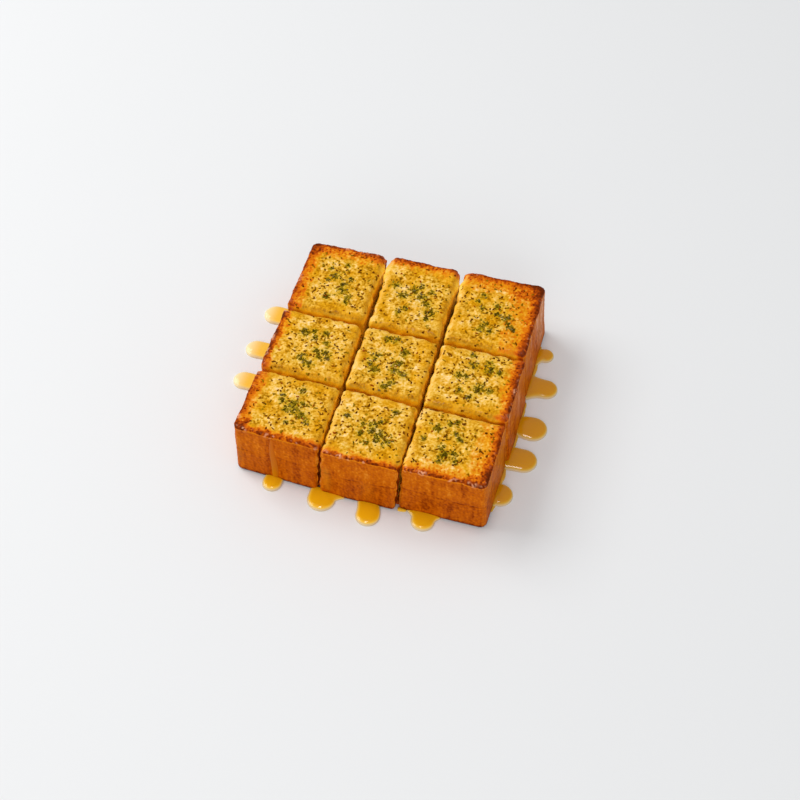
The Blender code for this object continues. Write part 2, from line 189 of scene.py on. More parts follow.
def surface(name, verts, quads, finish, triangles=(), facts=None, nodes=("bread",)):
    """Makes one piece from an array of points in millimetres and arrays of faces. `facts` are
    numbers per point that its material reads. The piece rides on the slab's one body, and takes
    the place of the solids `nodes`."""
    mesh = bpy.data.meshes.new(name)
    loops = np.concatenate([np.ravel(quads), np.ravel(triangles)]).astype(np.int32)
    sizes = np.concatenate([np.full(len(quads), 4), np.full(len(triangles), 3)]).astype(np.int32)
    mesh.vertices.add(len(verts))
    mesh.vertices.foreach_set("co", (np.asarray(verts) * MM).astype(np.float32).ravel())
    mesh.loops.add(len(loops))
    mesh.loops.foreach_set("vertex_index", loops)
    mesh.polygons.add(len(sizes))
    mesh.polygons.foreach_set("loop_start", np.concatenate([[0], np.cumsum(sizes)[:-1]]).astype(np.int32))
    for key, values in (facts or {}).items():
        layer = mesh.attributes.new(key, "FLOAT", "POINT")
        layer.data.foreach_set("value", np.asarray(values, np.float32).ravel())
    mesh.update(calc_edges=True)
    mesh.validate()
    mesh.shade_smooth()
    mesh.materials.append(finish)
    piece = bpy.data.objects.new(name, mesh)
    bpy.context.scene.collection.objects.link(piece)
    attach(piece, "root")
    if nodes:
        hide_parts(*nodes)
    return piece


def strip_quads(rows, columns):
    """Faces between rows of points, each row a closed ring of `columns` points."""
    row, column = np.meshgrid(np.arange(rows - 1), np.arange(columns), indexing="ij")
    after = (column + 1) % columns
    corners = (row * columns + column, (row + 1) * columns + column,
               (row + 1) * columns + after, row * columns + after)
    return np.stack(corners, axis=-1).reshape(-1, 4)


# ---------------------------------------------------------------- materials

GRAIN_SIZE = 0.9            # the crumb's real grain is finer, but would not show


def linear(code):
    """An sRGB hex colour as the linear numbers that a shader takes."""
    values = [int(code[at:at + 2], 16) / 255.0 for at in (1, 3, 5)]
    return (*(v / 12.92 if v <= 0.04045 else ((v + 0.055) / 1.055) ** 2.4 for v in values), 1.0)


def add(tree, kind, inputs=None, stops=None, out=None, **settings):
    """Adds one node with its settings, and gives its output `out`, or else its first one in use.
    `inputs` go by socket: another node's output is linked, and anything else is set. `stops`
    are the places and hex colours of a colour ramp."""
    made = tree.nodes.new("ShaderNode" + kind)
    for key, value in settings.items():
        setattr(made, key, value)
    sockets = {socket.identifier: socket for socket in made.inputs}
    for key, value in (inputs or {}).items():
        if isinstance(value, bpy.types.NodeSocket):
            tree.links.new(value, sockets[key])
        else:
            sockets[key].default_value = value
    if stops:
        points = made.color_ramp.elements
        while len(points) < len(stops):
            points.new(1.0)
        for point, (place, code) in zip(points, stops):
            point.position = place
            point.color = linear(code)
    return made.outputs[out] if out else next(socket for socket in made.outputs if socket.enabled)


def new_material(name, roughness, **inputs):
    """A material with its tree and its Principled shader, whose inputs are set by their names
    with _ for each space."""
    made = bpy.data.materials.new(name)
    made.use_nodes = True
    shader = made.node_tree.nodes["Principled BSDF"]
    shader.inputs["Roughness"].default_value = roughness
    for key, value in inputs.items():
        shader.inputs[key.replace("_", " ")].default_value = value
    return made, made.node_tree, shader


def toned(name, fact, stops, roughness, **inputs):
    """A material whose colour follows one fact of the points along a colour ramp."""
    made, tree, shader = new_material(name, roughness, **inputs)
    level = add(tree, "Attribute", attribute_name=fact, out="Fac")
    tree.links.new(add(tree, "ValToRGB", {"Fac": level}, stops=stops), shader.inputs["Base Color"])
    return made


def baked_bread():
    """White loaf, buttered, glazed with honey and baked. The eye sees pale crumb lumps with
    golden hollows, painted paler on the lumps and darker in the pores as painted light and
    shade, a deeper glaze in patches and towards each cube's own edges, darker as painted shade
    where the cut edges lean right or front, an olive stain round the herbs, honey-soaked crumb in
    the cuts, streaky brown crust faces with painted shade low down, orange to dark brown toast at
    the slab's edges, and painted highlights of pale honey on the rim and the right face. The
    points' own facts say where each of these lies, and a fine grain breaks up all of them."""
    made, tree, shader = new_material(
        "baked_bread", 0.5, Coat_Roughness=0.2, IOR=1.45, Specular_IOR_Level=0.03)
    fact = {
        key: add(tree, "Attribute", attribute_name=key, out="Fac")
        for key in ("crumb", "glaze", "herb", "toast", "crust", "cut", "bake", "film", "drop", "brim")
    }
    where = add(tree, "TexCoord", out="Object")
    fine = add(tree, "TexNoise", {
        "Vector": where, "Scale": 1.0 / (GRAIN_SIZE * MM), "Detail": 3.0, "Roughness": 0.6})
    grain = add(tree, "Math", {"Value": fine, "Value_001": 0.5}, operation="SUBTRACT")
    crumb, bake, toast = (
        add(tree, "Math", {"Value": grain, "Value_001": share, "Value_002": fact[key]},
            operation="MULTIPLY_ADD")
        for key, share in (("crumb", 0.68), ("bake", 0.35), ("toast", 0.25)))
    cover = add(tree, "MapRange", {
        "Value": toast, "From Min": 0.06, "From Max": 0.42, "To Min": 0.0, "To Max": 1.0})

    pale_crumb, golden_glaze, soaked_wall, brown_crust, dark_toast = (
        add(tree, "ValToRGB", {"Fac": level}, stops=stops) for level, stops in (
            (crumb, ((0.0, "#825000"), (0.2, "#BE8206"), (0.4, "#DFA628"), (0.6, "#F0BF51"),
                     (0.8, "#F8CC7C"), (1.0, "#FCDCA0"))),
            (crumb, ((0.0, "#8A5400"), (0.3, "#C68400"), (0.6, "#E4A414"), (1.0, "#F4BE4C"))),
            (bake, ((0.15, "#EEAC14"), (0.5, "#FFCC3C"), (0.85, "#FFDC78"))),
            (bake, ((0.0, "#5E2000"), (0.25, "#9A3E00"), (0.5, "#C05A02"), (0.75, "#D46E04"),
                    (1.0, "#E89028"))),
            (toast, ((0.1, "#F2A828"), (0.3, "#E68A10"), (0.48, "#D46A08"), (0.64, "#B04A04"),
                     (0.8, "#8A3404"), (1.0, "#622404"))),
        ))
    # The last layer, #F2AE84, is painted highlight: pale glints of honey on the rim and sheens on the
    # right face
    colour = pale_crumb
    for share, laid_over in (
            (fact["glaze"], golden_glaze), (fact["herb"], linear("#B09C10")),
            (fact["cut"], soaked_wall), (fact["crust"], brown_crust),
            (fact["film"], linear("#E08C18")), (cover, dark_toast), (fact["drop"], linear("#F2AE84"))):
        colour = add(tree, "Mix", {
            "Factor_Float": share, "A_Color": colour, "B_Color": laid_over}, data_type="RGBA")

    wet = add(tree, "Math", {"Value": fact["film"], "Value_001": fact["drop"]}, operation="MAXIMUM")
    coated = add(tree, "Math", {"Value": wet, "Value_001": fact["brim"]}, operation="MAXIMUM")
    links = {
        "Base Color": colour,
        "Roughness": add(tree, "MapRange", {
            "Value": wet, "From Min": 0.0, "From Max": 1.0, "To Min": 0.5, "To Max": 0.3}),
        "Normal": add(tree, "Bump", {"Height": fine, "Strength": 0.3, "Distance": 0.2 * MM}),
        "Coat Weight": add(tree, "Math", {"Value": coated, "Value_001": 0.22}, operation="MULTIPLY"),
    }
    for socket, value in links.items():
        tree.links.new(value, shader.inputs[socket])
    return made


def poured_honey():
    """Honey lying in a thin pool: amber where it is deep, tan where it thins to its edge, more
    olive as painted shade where the bread's shade falls, cream as painted light towards the tips
    that the light shines through, and as glossy as glass."""
    made, tree, shader = new_material("poured_honey", 0.1, IOR=1.49, Specular_IOR_Level=0.38)
    depth, olive, pale = (
        add(tree, "Attribute", attribute_name=key, out="Fac") for key in ("depth", "olive", "pale"))
    # Painted light and shade: one ramp for honey in the light, one more olive for honey in the bread's
    # shade
    lit = add(tree, "ValToRGB", {"Fac": depth}, stops=(
        (0.0, "#DCC49C"), (0.12, "#E6C680"), (0.32, "#F8CC52"), (0.6, "#F6BE28"), (1.0, "#ECAC10")))
    shaded = add(tree, "ValToRGB", {"Fac": depth}, stops=(
        (0.0, "#D6BE98"), (0.15, "#DCB868"), (0.4, "#DCAC38"), (0.7, "#DA9E14"), (1.0, "#D89400")))
    body = add(tree, "Mix", {"Factor_Float": olive, "A_Color": lit, "B_Color": shaded}, data_type="RGBA")
    colour = add(tree, "Mix", {
        "Factor_Float": pale, "A_Color": body, "B_Color": linear("#FCE8B4")}, data_type="RGBA")
    tree.links.new(colour, shader.inputs["Base Color"])
    return made


def honey_over_crust():
    """A run of honey so thin that the brown crust shows through it. Only its gloss and its full
    foot tell it from the crust."""
    return toned(
        "honey_over_crust", "depth",
        ((0.0, "#C86608"), (0.35, "#C46A04"), (0.7, "#CC7C04"), (1.0, "#DE9E14")),
        0.4, IOR=1.49, Specular_IOR_Level=0.06)


def dried_parsley():
    """Dried parsley, baked dark: matt, from nearly black green to a dusty grey green."""
    return toned(
        "dried_parsley", "tone",
        ((0.0, "#3A2E02"), (0.3, "#5E4C04"), (0.55, "#846A08"), (0.8, "#A88C18"), (0.9, "#705C34"),
         (1.0, "#826E42")),
        0.7, Specular_IOR_Level=0.02)


def browned_flecks():
    """Flecks of herb and pepper, baked until olive, brown or nearly black."""
    return toned(
        "browned_flecks", "tone",
        ((0.0, "#542800"), (0.35, "#783E00"), (0.6, "#865600"), (0.85, "#947808"), (0.95, "#944000"),
         (1.0, "#A24A00")),
        0.6, Specular_IOR_Level=0.02)


# ---------------------------------------------------------------- the place of a point of bread

def share_up(place):
    """The height of each point, from 0 at the cubes' foot to 1 at their tops."""
    return (place[:, 2] - CUBE_FOOT) / (HEIGHT - CUBE_FOOT)


def distance_in_plan(place, middle):
    """How far each point is from a place, seen from above."""
    return np.hypot(place[:, 0] - middle[0], place[:, 1] - middle[1])


def face_at(side, number, value, t):
    """Where the face of one cube lies, at places along the side and at heights t, from 0 at the
    foot to 1 at the top."""
    top_start, top_end, foot_start, foot_end = FACES[side][2][number]
    share = np.clip(len(ROWS) * (value + HALF_SIDE) / (2.0 * HALF_SIDE) - number, 0.0, 1.0)
    return lerp(lerp(foot_start, foot_end, share), lerp(top_start, top_end, share), t)


def cut_wall(cut, value, t, way):
    """Where a wall of a knife cut lies, at places along it and heights t."""
    share = (value + HALF_SIDE) / (2.0 * HALF_SIDE)
    middle = lerp(cut["start"], cut["end"], share) + cut["lean"] * (1.0 - t)
    return middle + way * lerp(cut["foot"], lerp(*cut["top"], share), t) / 2


def limits(axis, column, row, value, t):
    """The two sides of a cube along an axis, at places along the other one and heights t."""
    cuts, sides = (ROW_CUTS, ("front", "back")) if axis else (COLUMN_CUTS, ("left", "right"))
    number, across = (row, column) if axis else (column, row)
    low, high = (face_at(side, across, value, t) for side in sides)
    if number > 0:
        low = cut_wall(cuts[number - 1], value, t, 1)
    if number < len(cuts):
        high = cut_wall(cuts[number], value, t, -1)
    return low, high


def outer_sides(column, row):
    """The sides of this cube that are faces of the slab."""
    found = {"left": column == 0, "right": column == len(COLUMNS) - 1,
             "front": row == 0, "back": row == len(ROWS) - 1}
    return [side for side, outer in found.items() if outer]


def rounded_outline(plan, half, column, row):
    """Carries points on the edge of the square |a|, |b| <= 1 to a rectangle of half sizes
    `half` with round corners. Also gives the way that the outline faces there."""
    sides = outer_sides(column, row)
    at_side = ((plan[:, 0] < 0) & ("left" in sides)) | ((plan[:, 0] > 0) & ("right" in sides))
    at_end = ((plan[:, 1] < 0) & ("front" in sides)) | ((plan[:, 1] > 0) & ("back" in sides))
    radius = np.where(at_side & at_end, SLAB_CORNER, CUBE_CORNER)[:, None]
    flat = plan * half
    inner = np.clip(flat, radius - half, half - radius)
    off = flat - inner
    length = np.maximum(np.linalg.norm(off, axis=1, keepdims=True), 1e-9)
    return inner + off * np.minimum(radius / length, 1.0), off / length


def shoulder_radius(column, row, away):
    """The radius round the top where its outline faces `away`: broad at the knife cuts."""
    outer = np.zeros(len(away))
    for side in outer_sides(column, row):
        axis, way, _ = FACES[side]
        outer += np.maximum(away[:, axis] * way, 0.0) ** 2
    return lerp(CUT_SHOULDER, SHOULDER, smooth(outer))


def drawn_in(share, part, column, row, half):
    """Draws plan shares in by a part of the shoulders' radii, each side by its own."""
    sides = outer_sides(column, row)
    low = np.array([SHOULDER if side in sides else CUT_SHOULDER for side in ("left", "front")]) / half
    high = np.array([SHOULDER if side in sides else CUT_SHOULDER for side in ("right", "back")]) / half
    return lerp(part * low - 1.0, 1.0 - part * high, (share + 1.0) / 2)


def cube_place(column, row, share, z):
    """Stretches plan shares from -1 to 1 between the cuts and faces round a cube, at height z
    above its foot."""
    middle_x = sum(limits(0, column, row, 0.0, 1.0)) / 2
    t = z / (HEIGHT - CUBE_FOOT)
    low, high = limits(1, column, row, middle_x, t)
    guess_y = lerp(low, high, (share[:, 1] + 1.0) / 2)
    low, high = limits(0, column, row, guess_y, t)
    x = lerp(low, high, (share[:, 0] + 1.0) / 2)
    low, high = limits(1, column, row, x, t)
    y = lerp(low, high, (share[:, 1] + 1.0) / 2)
    return np.stack([x, y, z + CUBE_FOOT], axis=1)


# Where the clumps of parsley lie on each cube, and how long each is
PARSLEY_CLUMPS = {
    ("left", "back"): (
        (-44.5, 43.5, 4), (-38.5, 38.5, 3.5), (-38, 34.5, 4.5), (-33.5, 30.5, 3), (-44.5, 28.5, 3.5),
        (-40, 52.5, 2.5), (-34, 27.5, 2.5), (-47, 40, 2), (-48, 47.5, 2), (-36, 43, 2)),
    ("middle", "back"): (
        (-12, 45.5, 3.5), (-1.5, 45, 4.5), (1, 48.5, 3), (-6.5, 39.5, 4), (3.5, 41, 4.5),
        (6.5, 37.5, 3.5), (10, 32, 5), (9, 28, 3), (-6, 28, 2.5), (-3, 31.5, 2.5), (7.5, 45.5, 2.5)),
    ("right", "back"): (
        (42.5, 45.5, 3), (49, 39.5, 4.5), (43, 40, 3), (50, 35, 4), (34, 51, 2.5), (32, 46.5, 2.5),
        (38.5, 31.5, 3.5), (37, 28, 3), (42, 28, 2.5), (53, 32.5, 3), (35, 42.5, 2.5)),
    ("left", "centre"): (
        (-47.5, 2.5, 4.5), (-43, 4, 2.5), (-37, 4, 3), (-38, -7.5, 3.5), (-33.5, -7.5, 4),
        (-34.5, -2, 2.5), (-31.5, -11.5, 3.5), (-44, -14, 4), (-40, -16.5, 4), (-41.5, 0, 2.5),
        (-36, -11, 3)),
    ("middle", "centre"): (
        (-5.5, 9.5, 4), (-1, 9.5, 3.5), (4.5, 2.5, 4), (-8.5, -3, 4.5), (-10, -8.5, 3),
        (-7, -11.5, 4), (3.5, -4.5, 4), (3, -9, 4), (7.5, -10.5, 4), (3, -17, 3.5),
        (0.5, -20.5, 3.5)),
    ("right", "centre"): (
        (47, 7.5, 3), (48.5, 4, 4.5), (40, 4.5, 4), (53, 3, 3), (34, -3.5, 3.5), (38, -3.5, 3),
        (46, -9.5, 4.5), (51, -9.5, 3), (38, 10.5, 2.5), (37, -12.5, 2.5), (42.5, -15, 3)),
    ("left", "front"): (
        (-36.5, -34, 3), (-44.5, -42, 3), (-39, -42.5, 4.5), (-37.5, -46.5, 5), (-32.5, -48.5, 4),
        (-34, -41.5, 3), (-29, -51.5, 2.5), (-41.5, -46.5, 2.5), (-45.5, -38.5, 2.5),
        (-38.5, -54, 2)),
    ("middle", "front"): (
        (2, -44.5, 4), (2.5, -48, 3.5), (7, -49.5, 4.5), (11, -52, 4), (1.5, -55, 3),
        (-2.5, -50.5, 3), (-2.5, -45, 2.5), (-11.5, -42, 2.5), (6, -53, 3), (5.5, -41.5, 2.5),
        (10.5, -34, 2.5)),
    ("right", "front"): (
        (32.5, -37.5, 4), (38, -33.5, 3), (42, -39, 3), (44.5, -42, 3), (37.5, -48.5, 3),
        (40, -52, 4.5), (43.5, -50.5, 3), (45.5, -54.5, 2.5), (38, -56, 2.5), (27.5, -45, 2.5),
        (41, -31.5, 2.5)),
}


# ---------------------------------------------------------------- the skin of the bread

# A noise is drawn out along an axis where its points are multiplied by less than 1
STREAKED = (1.0, 1.0, 0.12)
THREADED = (1.0, 1.0, 0.25)
WAVED = (1.0, 1.0, 0.3)
LEVEL = (1.0, 1.0, 0.0)

# Soft noises by the strength, size and salt of each layer
WANDER = ((1.0, 4.0, 31), (0.5, 1.8, 32))           # by which borders of colour stray
EDGE_BUMPS = ((0.3, 2.2, 57),)                      # small bumps along the cut edges
WALL_GRAIN = ((0.12, 1.6, 9),)
CRUMB_TONES = ((0.4, 1.0, 19), (0.16, 11.0, 56))    # paler and more golden crumb
GLAZE_PATCHES = ((1.1, 9.0, 11), (0.55, 3.5, 12))
CHAR_TONES = ((0.7, 2.6, 16), (0.5, 1.1, 25))       # darker and paler stretches of the rim
BAKE_TONES = ((0.12, 8.0, 17), (0.22, 1.2, 27))     # mottled crust faces

# Where soft borders lie: the end that is named, and the width over which they fade. How far a
# skin faces up, or a side's own way, runs from 0 to 1
TOP_FACING = (0.0, 1 / 1.4)  # toast grows from upright to here
UPRIGHT = (1.1 / 1.15, 1 / 1.15)    # a wall or crust face ends where the skin faces up by this
SIDE_WAY = (0.2, 0.3)
MOUTH_ENDS = (7.0, 5.0)     # how far in from the slab's faces the cuts are browned
TORN_TOP = (33.8, 2.5)      # height at which the swelling of the cut walls ends
WALL_TOP = (0.6, 0.3)       # share of the height from which the cut walls are darker
UPPER_CRUST = (0.35, 0.3)   # and the crust faces painted paler, as painted light towards their tops
GLINT_PEAK = (0.36, 0.25)    # where a noise becomes a painted glint, a pale highlight of honey
DRY_FROM = (58.0, 3.0)      # the place from which the rim has fewer of them
FILM_BREAK = (-0.5, 1.25)   # where a noise breaks the film of honey

RIM_LINE = 0.9              # half the width of the line along the toasted edges
RIM_OFF = 0.8               # from the square edge to the skin of the rounded one
RIM_WAVE = 9.0              # the slow wave of the edge
RIM_WAVE_HEIGHT = 0.6
RIM_WAVE_CREST = 0.4        # where the wave is cut off
BEAD_SIZE = 1.5             # the toasted edge's beads
BEAD_HEIGHT = 0.45
BEAD_MEAN = 0.45            # share of a bead that lies below the skin
BEAD_LEAST = 0.4            # the lowest bead's share of the highest
LUMP_SIZE = 2.3             # the crumb's lumps
LUMP_DRIFT = (1.6, 0.5)     # size and amount of the drifts that push them aside
LUMP_HEIGHT = 0.3
LUMP_SUNK = 0.3             # share of that height by which they are let in
# Painted light: the crumb is painted paler on its raised lumps by this
LUMP_PAINTED_LIGHT = 0.24
SWELL_SIZE = 6.0            # the slow swell of a top
SWELL_HEIGHT = 0.45
SWELL_SUNK = 0.2
PATCH_SIZE = 5.0            # the crumb's cream and golden patches
PATCH_DRIFT = (4.0, 1.2)
PATCH_TONE = 0.24
PORE_SPACING = 2.6
PORE_SHARE = 0.35           # share of the places that have a pore
PORE_EDGE = (0.221, 0.13)   # its radius and its slope, as shares of the spacing
PORE_DEPTH = 0.35
# Painted shade: the crumb is painted darker in its pores by this
PORE_PAINTED_SHADE = 0.45
CRUMB_MEAN = 0.475
CRUMB_EVEN = 0.5            # the crumb's paleness at its edges
BRIM = 4.2                  # how far in from its edges a top is smoother and more golden
BRIM_SMOOTHED = 0.7         # share of the relief that goes at the very edge
BRIM_EVENED = 0.4           # and of the crumb's patches
LEAN_RIGHT = 0.35           # what leaning right and leaning back count for
LEAN_BACK = 0.5
LEAN_PAINTED_SHADE = 0.38            # painted shade: how much darker the cut edges are that lean right or front
LEAN_REACH = 1.7
WALL_WAVE = 5.0             # the cut walls' soft bulges
WALL_HEIGHT = 1.1
WALL_LIFT = 0.1
WALL_PROUD = 0.4            # the most that they stand out
BULGE_REACH = 1.6           # how far from the cuts they reach
TORN_AT = 55.5              # near the back ends of the cuts the walls swell until they nearly meet
TORN_REACH = 6.5
TORN_SHARE = 0.8            # of half the cut's width
DIMPLE_SIZE = 11.0          # the crust faces' hollows
DIMPLE_DEPTH = 0.45
CREASE_AT = 17.0            # height of the crease that runs round the crust faces
CREASE_WANDER = 2.2
CREASE_WAVE = 14.0
CREASE_BREAK = 6.0          # length of its stretches
CREASE_SHARE = 0.6          # how much of it is there, and how unevenly
CREASE_VARIES = 0.9
CREASE_WIDTH = 0.5
CREASE_DEPTH = 0.25
RELIEF_FULL = 8.1           # height from which the relief has its full depth

# The toasting of each cube along each face: how brown its inner zone is and how far in that
# ends, then how much browner the edge is and how far in that fades
TOASTED = {
    "left": ((0.36, 6.8, 0.27, 5.0), (0.44, 5.0, 0.3, 4.6), (0.36, 7.2, 0.22, 5.0)),
    "right": ((0.24, 12.0, 0.5, 7.0), (0.2, 7.5, 0.52, 7.5), (0.26, 15.0, 0.5, 7.5)),
    "front": ((0.2, 5.5, 0.42, 5.5), (0.2, 4.5, 0.45, 4.5), (0.26, 7.5, 0.4, 4.5)),
    "back": ((0.28, 9.0, 0.45, 7.5), (0.2, 8.0, 0.5, 7.0), (0.27, 12.0, 0.46, 8.0)),
}
ZONE_FADE = 4.0             # width over which the inner zone ends
ZONE_STRAY = 3.2            # how far its border strays
EDGE_STRAY = 0.15           # and that of the edge zone, as a share of its width
CORNER_TOAST = 0.06         # how much browner the slab's corners are
CORNER_REACH = 11.0
CORNER_STRAY = 0.4
CHARRED = {"left": 0.5, "right": 0.4, "front": 0.5, "back": 0.4}        # the rims
MOUTH = {"left": 0.5, "right": 0.6, "front": 0.85, "back": 0.6}         # the cuts' open ends
CHAR_MEAN = 0.51
BEAD_PAINTED_LIGHT = 0.7             # painted light: how much paler the rim is on its beads
TOAST_CONTRAST = 1.2        # how much browner the toast is where the crumb is darker, painted shade of the pores included
DOT_SPACING = 1.4           # dark dots in the toast
DOT_SHARE = 0.5
DOT_EDGE = (0.42, 0.16)     # radius and slope, as shares of the spacing
DOT_TONE = 0.32
DOT_TOAST = 0.45            # how toasted the skin is where they are darkest

GLAZED = {("right", "back"): 0.45, ("left", "back"): 0.25}      # the cubes with more glaze
GLAZED_ELSE = 0.1
BRIM_GLAZE = 0.6            # more glaze towards each cube's own edges
LEAN_SHADE_GLAZE = 0.6            # and, as painted shade, where these lean right or front
LEAN_GLAZE_REACH = 2.2
BAND_GLAZE = 0.4            # and in a band along the inside of the toast
BAND_AT = 5.0
BAND_WIDTH = 5.0
HERB_REACH = 0.75           # how far the olive stain reaches round a clump of this length
HERB_STAIN = 0.5
HERB_STRAY = 0.3

BAKE_MEAN = 0.5             # the crust faces and cut walls, from dark at 0 to pale at 1
STREAK_WIDTH = 2.2          # upright streaks
STREAK_TONE = 0.17
THREAD_WIDTH = 0.9          # and finer ones
THREAD_TONE = 0.14
TORN_PALER = 0.4
WALL_SHADE = 0.1            # how much darker the walls are below the cuts' shoulders
LEAN_SHADE = 0.4
# Painted light and shade on the crust faces: paler towards their tops, darker below
UPPER_PAINTED_LIGHT = 0.15
LOWER_SHADE = 0.06
SIDE_PALER = 0.06           # the left and right faces
CREASE_SHADE = 0.3
FOOT_SHADE = 0.5            # the dark line along the foot
FOOT_REACH = 1.3
CORNER_PALER = 0.12         # the front face's upright edges
CORNER_WIDTH = 2.0
SIDE_WITHIN = 1.5           # what lies this far in still counts as the left and right faces
FRONT_WITHIN = 1.0

WET_SIZE = 9.0              # stretches of the rim that are wet with honey
WET_MEAN = 0.2
WET_EDGE = 0.5              # how wet it is where they are all there
GLINT_SIZE = 1.6             # painted glints on them: pale highlights of honey
GLINT_WET = 0.25             # how much more of them there are where it is wet
GLINT_TONE = 0.55
GLINT_FULL = 0.7             # below 1 they reach further down from the rim's line
DRIER = 0.6                 # share of them that is missing along the right rim
# Single larger painted glints on the rim, pale highlights of honey: where they are and how long
RIM_GLINTS = (
    (-61.5, 14.0, 2.2), (-62.0, -5.0, 2.0), (-61.5, -28.5, 2.2), (-57.0, -63.5, 1.2),
    (-8.0, -65.5, 1.5), (32.0, -64.0, 2.0), (57.0, -64.0, 1.4), (61.0, -63.0, 1.4), (62.5, -6.0, 1.5),
    (-44.3, 63.0, 1.8), (-34.3, 63.0, 1.8), (-61.0, 38.0, 1.6),
)
CRUMPLE_SIZE = 1.0          # they are broken up by a noise of this size, mean and strength
CRUMPLE_MEAN = 0.4
CRUMPLE = 2.2
SIDE_FILM = 0.3             # a film of honey on the left and right faces, its paler colour partly a painted sheen
FILM_SIZE = 13.0
# Streaks of honey on the front face: place along it, width, top, foot, and strength
STREAKS = ((-15.0, 2.0, 25.0, 3.0, 0.4), (5.5, 3.5, 20.0, 2.0, 0.15), (-60.5, 1.8, 30.0, 6.0, 0.2))
STREAK_STRAY = 0.5
STREAK_FADE = 6.0           # length over which a streak begins
STREAK_FOOT = 2.0           # and ends
# Painted sheens, pale highlights of honey on the right face: place along it, width, foot, and strength
SHEENS = (
    (-20.0, 2.0, 18.0, 0.5), (-2.0, 4.0, 8.0, 0.35), (31.0, 2.5, 4.0, 0.3), (44.0, 4.0, 2.0, 0.6),
    (56.0, 5.0, 0.0, 0.7),
)
SHEEN_STRAY = 0.8
SHEEN_FADE = 14.0
SHEEN_STREAKS = 1.2         # how much the streaks and the finer ones break them up
SHEEN_THREADS = 0.8


def layered(place, layers):
    """Soft noises over one another, each with its strength, size and salt."""
    return sum(strength * rolling(place, size, salt) for strength, size, salt in layers)


def slab_faces(place, up, away, column, row, wander):
    """What the slab's own faces bring to a cube. The rim is a bell round each toasted edge. The
    toast on top is an inner zone and a browner edge zone, each ending at its distance from the
    face. The crust is where the skin faces a side's own way. Gives these, what the cuts' open
    ends are browned by, and the distance from each face."""
    t = share_up(place)
    rim, charred, mouth, toast, crust = np.zeros((5, len(place)))
    gaps = {}
    for side in outer_sides(column, row):
        axis, way, _ = FACES[side]
        number = column if axis else row
        gap = np.maximum((face_at(side, number, place[:, 1 - axis], t) - place[:, axis]) * way, 0.0)
        near = bell(np.maximum(np.hypot(gap, HEIGHT - place[:, 2]) - RIM_OFF, 0.0), RIM_LINE)
        level, reach, edge_level, edge_reach = TOASTED[side][number]
        zone = level * fall(gap, reach + ZONE_FADE / 2 + ZONE_STRAY * wander, ZONE_FADE)
        zone += edge_level * fall(gap, edge_reach * (1.0 + EDGE_STRAY * wander), edge_reach)
        toast = 1.0 - (1.0 - toast) * (1.0 - zone * rise(up, *TOP_FACING))
        crust = np.maximum(crust, rise(away[:, axis] * way, *SIDE_WAY))
        mouth = np.maximum(mouth, MOUTH[side] * fall(gap, *MOUTH_ENDS))
        charred = np.maximum(charred, near * CHARRED[side])
        rim = np.maximum(rim, near)
        gaps[side] = gap
    if len(gaps) == 2:
        corner = bell(np.hypot(*gaps.values()), CORNER_REACH)
        toast += CORNER_TOAST * corner * rise(up, *TOP_FACING) * (1.0 + CORNER_STRAY * wander)
    return dict(rim=rim, charred=charred, mouth=mouth, toast=toast, crust=crust), gaps


def herbs_near(place, up, key):
    """How near the herbs a top's points are: a bell round each clump of this cube."""
    near = np.zeros(len(place))
    for *clump, length in PARSLEY_CLUMPS[key]:
        near = np.maximum(near, bell(distance_in_plan(place, clump), HERB_REACH * length))
    return near * up


def bread_facts(place, up, away, column, row):
    """What the skin is at each point: besides what the slab's faces bring, how far it is the
    wall of a cut, and its distances from the cube's nearest and second nearest edge, from the
    cuts and from the slab's faces. The lean is above 0 where it faces right or front, and below
    0 where it faces left or back. `up` is how far it faces up, `away` its way in plan."""
    key = COLUMNS[column], ROWS[row]
    wander = layered(place, WANDER)
    facts, gaps = slab_faces(place, up, away, column, row, wander)
    upright = fall(up, *UPRIGHT)
    crust = facts["crust"] * upright
    cut = upright * (1.0 - crust)
    (x, y, z), t = place.T, share_up(place)
    low_x, high_x = limits(0, column, row, y, t)
    low_y, high_y = limits(1, column, row, x, t)
    inner = {"left": x - low_x, "right": high_x - x, "front": y - low_y, "back": high_y - y}
    nearest, second = np.sort(list(inner.values()), axis=0)[:2]
    lean = away[:, 0] * np.where(away[:, 0] > 0.0, LEAN_RIGHT, 1.0)
    lean -= away[:, 1] * np.where(away[:, 1] > 0.0, LEAN_BACK, 1.0)
    facts.update(
        up=up, wander=wander, crust=crust, cut=cut, lean=lean, brim=nearest, corner=second,
        knife=np.min([gap for side, gap in inner.items() if side not in gaps], axis=0),
        edge=np.min([np.full(len(place), 2.0 * HALF_SIDE), *gaps.values()], axis=0),
        torn=bell(y - TORN_AT, TORN_REACH) * fall(z, *TORN_TOP) * cut,
        herb=herbs_near(place, up, key), rich=GLAZED.get(key, GLAZED_ELSE))
    return facts


def crease_line(place):
    """How near a point of a crust face is to the crease: a broken line at a wandering height."""
    height = CREASE_AT + CREASE_WANDER * rolling(place * LEVEL, CREASE_WAVE, 14)
    broken = smooth(CREASE_SHARE + CREASE_VARIES * rolling(place * LEVEL, CREASE_BREAK, 15))
    return bell(place[:, 2] - height, CREASE_WIDTH) * broken


